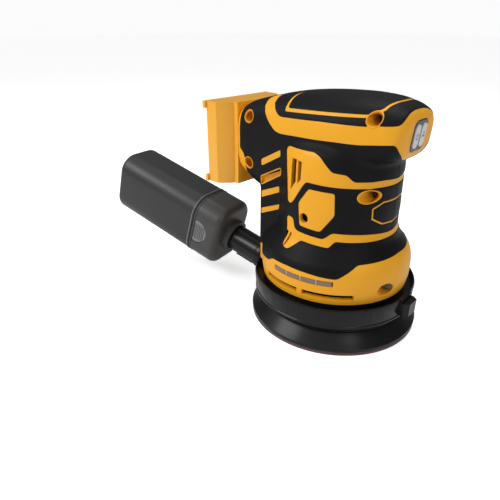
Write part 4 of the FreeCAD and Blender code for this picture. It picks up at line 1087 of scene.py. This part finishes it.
# ---- Studio: camera, pale floor and soft lights
FLOOR_HALF, FLOOR_Z, FLOOR_LIFT = 12, -0.0003, 0.5
floor_corners = [(a * FLOOR_HALF, b * FLOOR_HALF, FLOOR_Z) for a, b in ((-1, -1), (1, -1), (1, 1), (-1, 1))]
floor = held(new_mesh("floor", floor_corners, [(0, 1, 2, 3)]))
floor_paint = bpy.data.materials.new("pale_floor")
floor_paint.use_nodes = True
floor_nodes, floor_links = floor_paint.node_tree.nodes, floor_paint.node_tree.links
floor_shader = floor_nodes["Principled BSDF"]
floor_shader.inputs["Base Color"].default_value = (0.93, 0.93, 0.93, 1)
floor_shader.inputs["Roughness"].default_value = 0.7
floor_shader.inputs["Emission Color"].default_value = (1, 1, 1, 1)
floor_seen, floor_glow = floor_nodes.new("ShaderNodeLightPath"), floor_nodes.new("ShaderNodeMath")
floor_glow.operation = "MULTIPLY"
floor_glow.inputs[1].default_value = FLOOR_LIFT
floor_links.new(floor_seen.outputs["Is Camera Ray"], floor_glow.inputs[0])
floor_links.new(floor_glow.outputs["Value"], floor_shader.inputs["Emission Strength"])
floor.data.materials.append(floor_paint)

camera_data = bpy.data.cameras.new("camera")
camera_data.lens, camera_data.sensor_width = 32.4, 36.0
camera_data.clip_start = 0.01
camera = bpy.data.objects.new("camera", camera_data)
bpy.context.scene.collection.objects.link(camera)
forward = Vector((-0.6095, 0.6566, -0.4444)).normalized()
right = forward.cross(Vector((0, 0, 1))).normalized()
above = right.cross(forward)
aim = Matrix((right, above, -forward)).transposed().to_4x4()
camera.matrix_world = Matrix.Translation((0.1590, -0.2647, 0.1981)) @ aim
bpy.context.scene.camera = camera


def soft_light(name, place, target, size, power):
    data = bpy.data.lights.new(name, "AREA")
    data.shape, data.size, data.size_y, data.energy = "RECTANGLE", size[0], size[1], power
    lamp = bpy.data.objects.new(name, data)
    lamp.location = place
    lamp.rotation_euler = (Vector(target) - Vector(place)).to_track_quat("-Z", "Y").to_euler()
    bpy.context.scene.collection.objects.link(lamp)


soft_light("key", (-0.42, -0.62, 0.62), (0, 0, 0.08), (0.42, 0.30), 3.8)
soft_light("side", (0.70, -0.30, 0.50), (0, 0, 0.08), (0.22, 0.60), 1.4)
soft_light("top", (0.05, 0.30, 0.90), (0, 0, 0.1), (0.7, 0.4), 3.2)
sky_data = bpy.data.lights.new("sky", "SUN")
sky_data.energy, sky_data.angle = 1.35, np.radians(100)
sky = bpy.data.objects.new("sky", sky_data)
sky.rotation_euler = (np.radians(28), np.radians(-14), 0)
bpy.context.scene.collection.objects.link(sky)
world = bpy.data.worlds.new("studio")
world.use_nodes = True
WORLD_LIGHT, WORLD_SEEN = 0.15, 0.97
sky_nodes, sky_links = world.node_tree.nodes, world.node_tree.links
sky_nodes["Background"].inputs["Color"].default_value = (1, 1, 1, 1)
seen, choose = sky_nodes.new("ShaderNodeLightPath"), sky_nodes.new("ShaderNodeMix")
choose.inputs["A"].default_value, choose.inputs["B"].default_value = WORLD_LIGHT, WORLD_SEEN
sky_links.new(seen.outputs["Is Camera Ray"], choose.inputs["Factor"])
sky_links.new(choose.outputs["Result"], sky_nodes["Background"].inputs["Strength"])
bpy.context.scene.world = world
bpy.context.scene.view_settings.view_transform = "Standard"
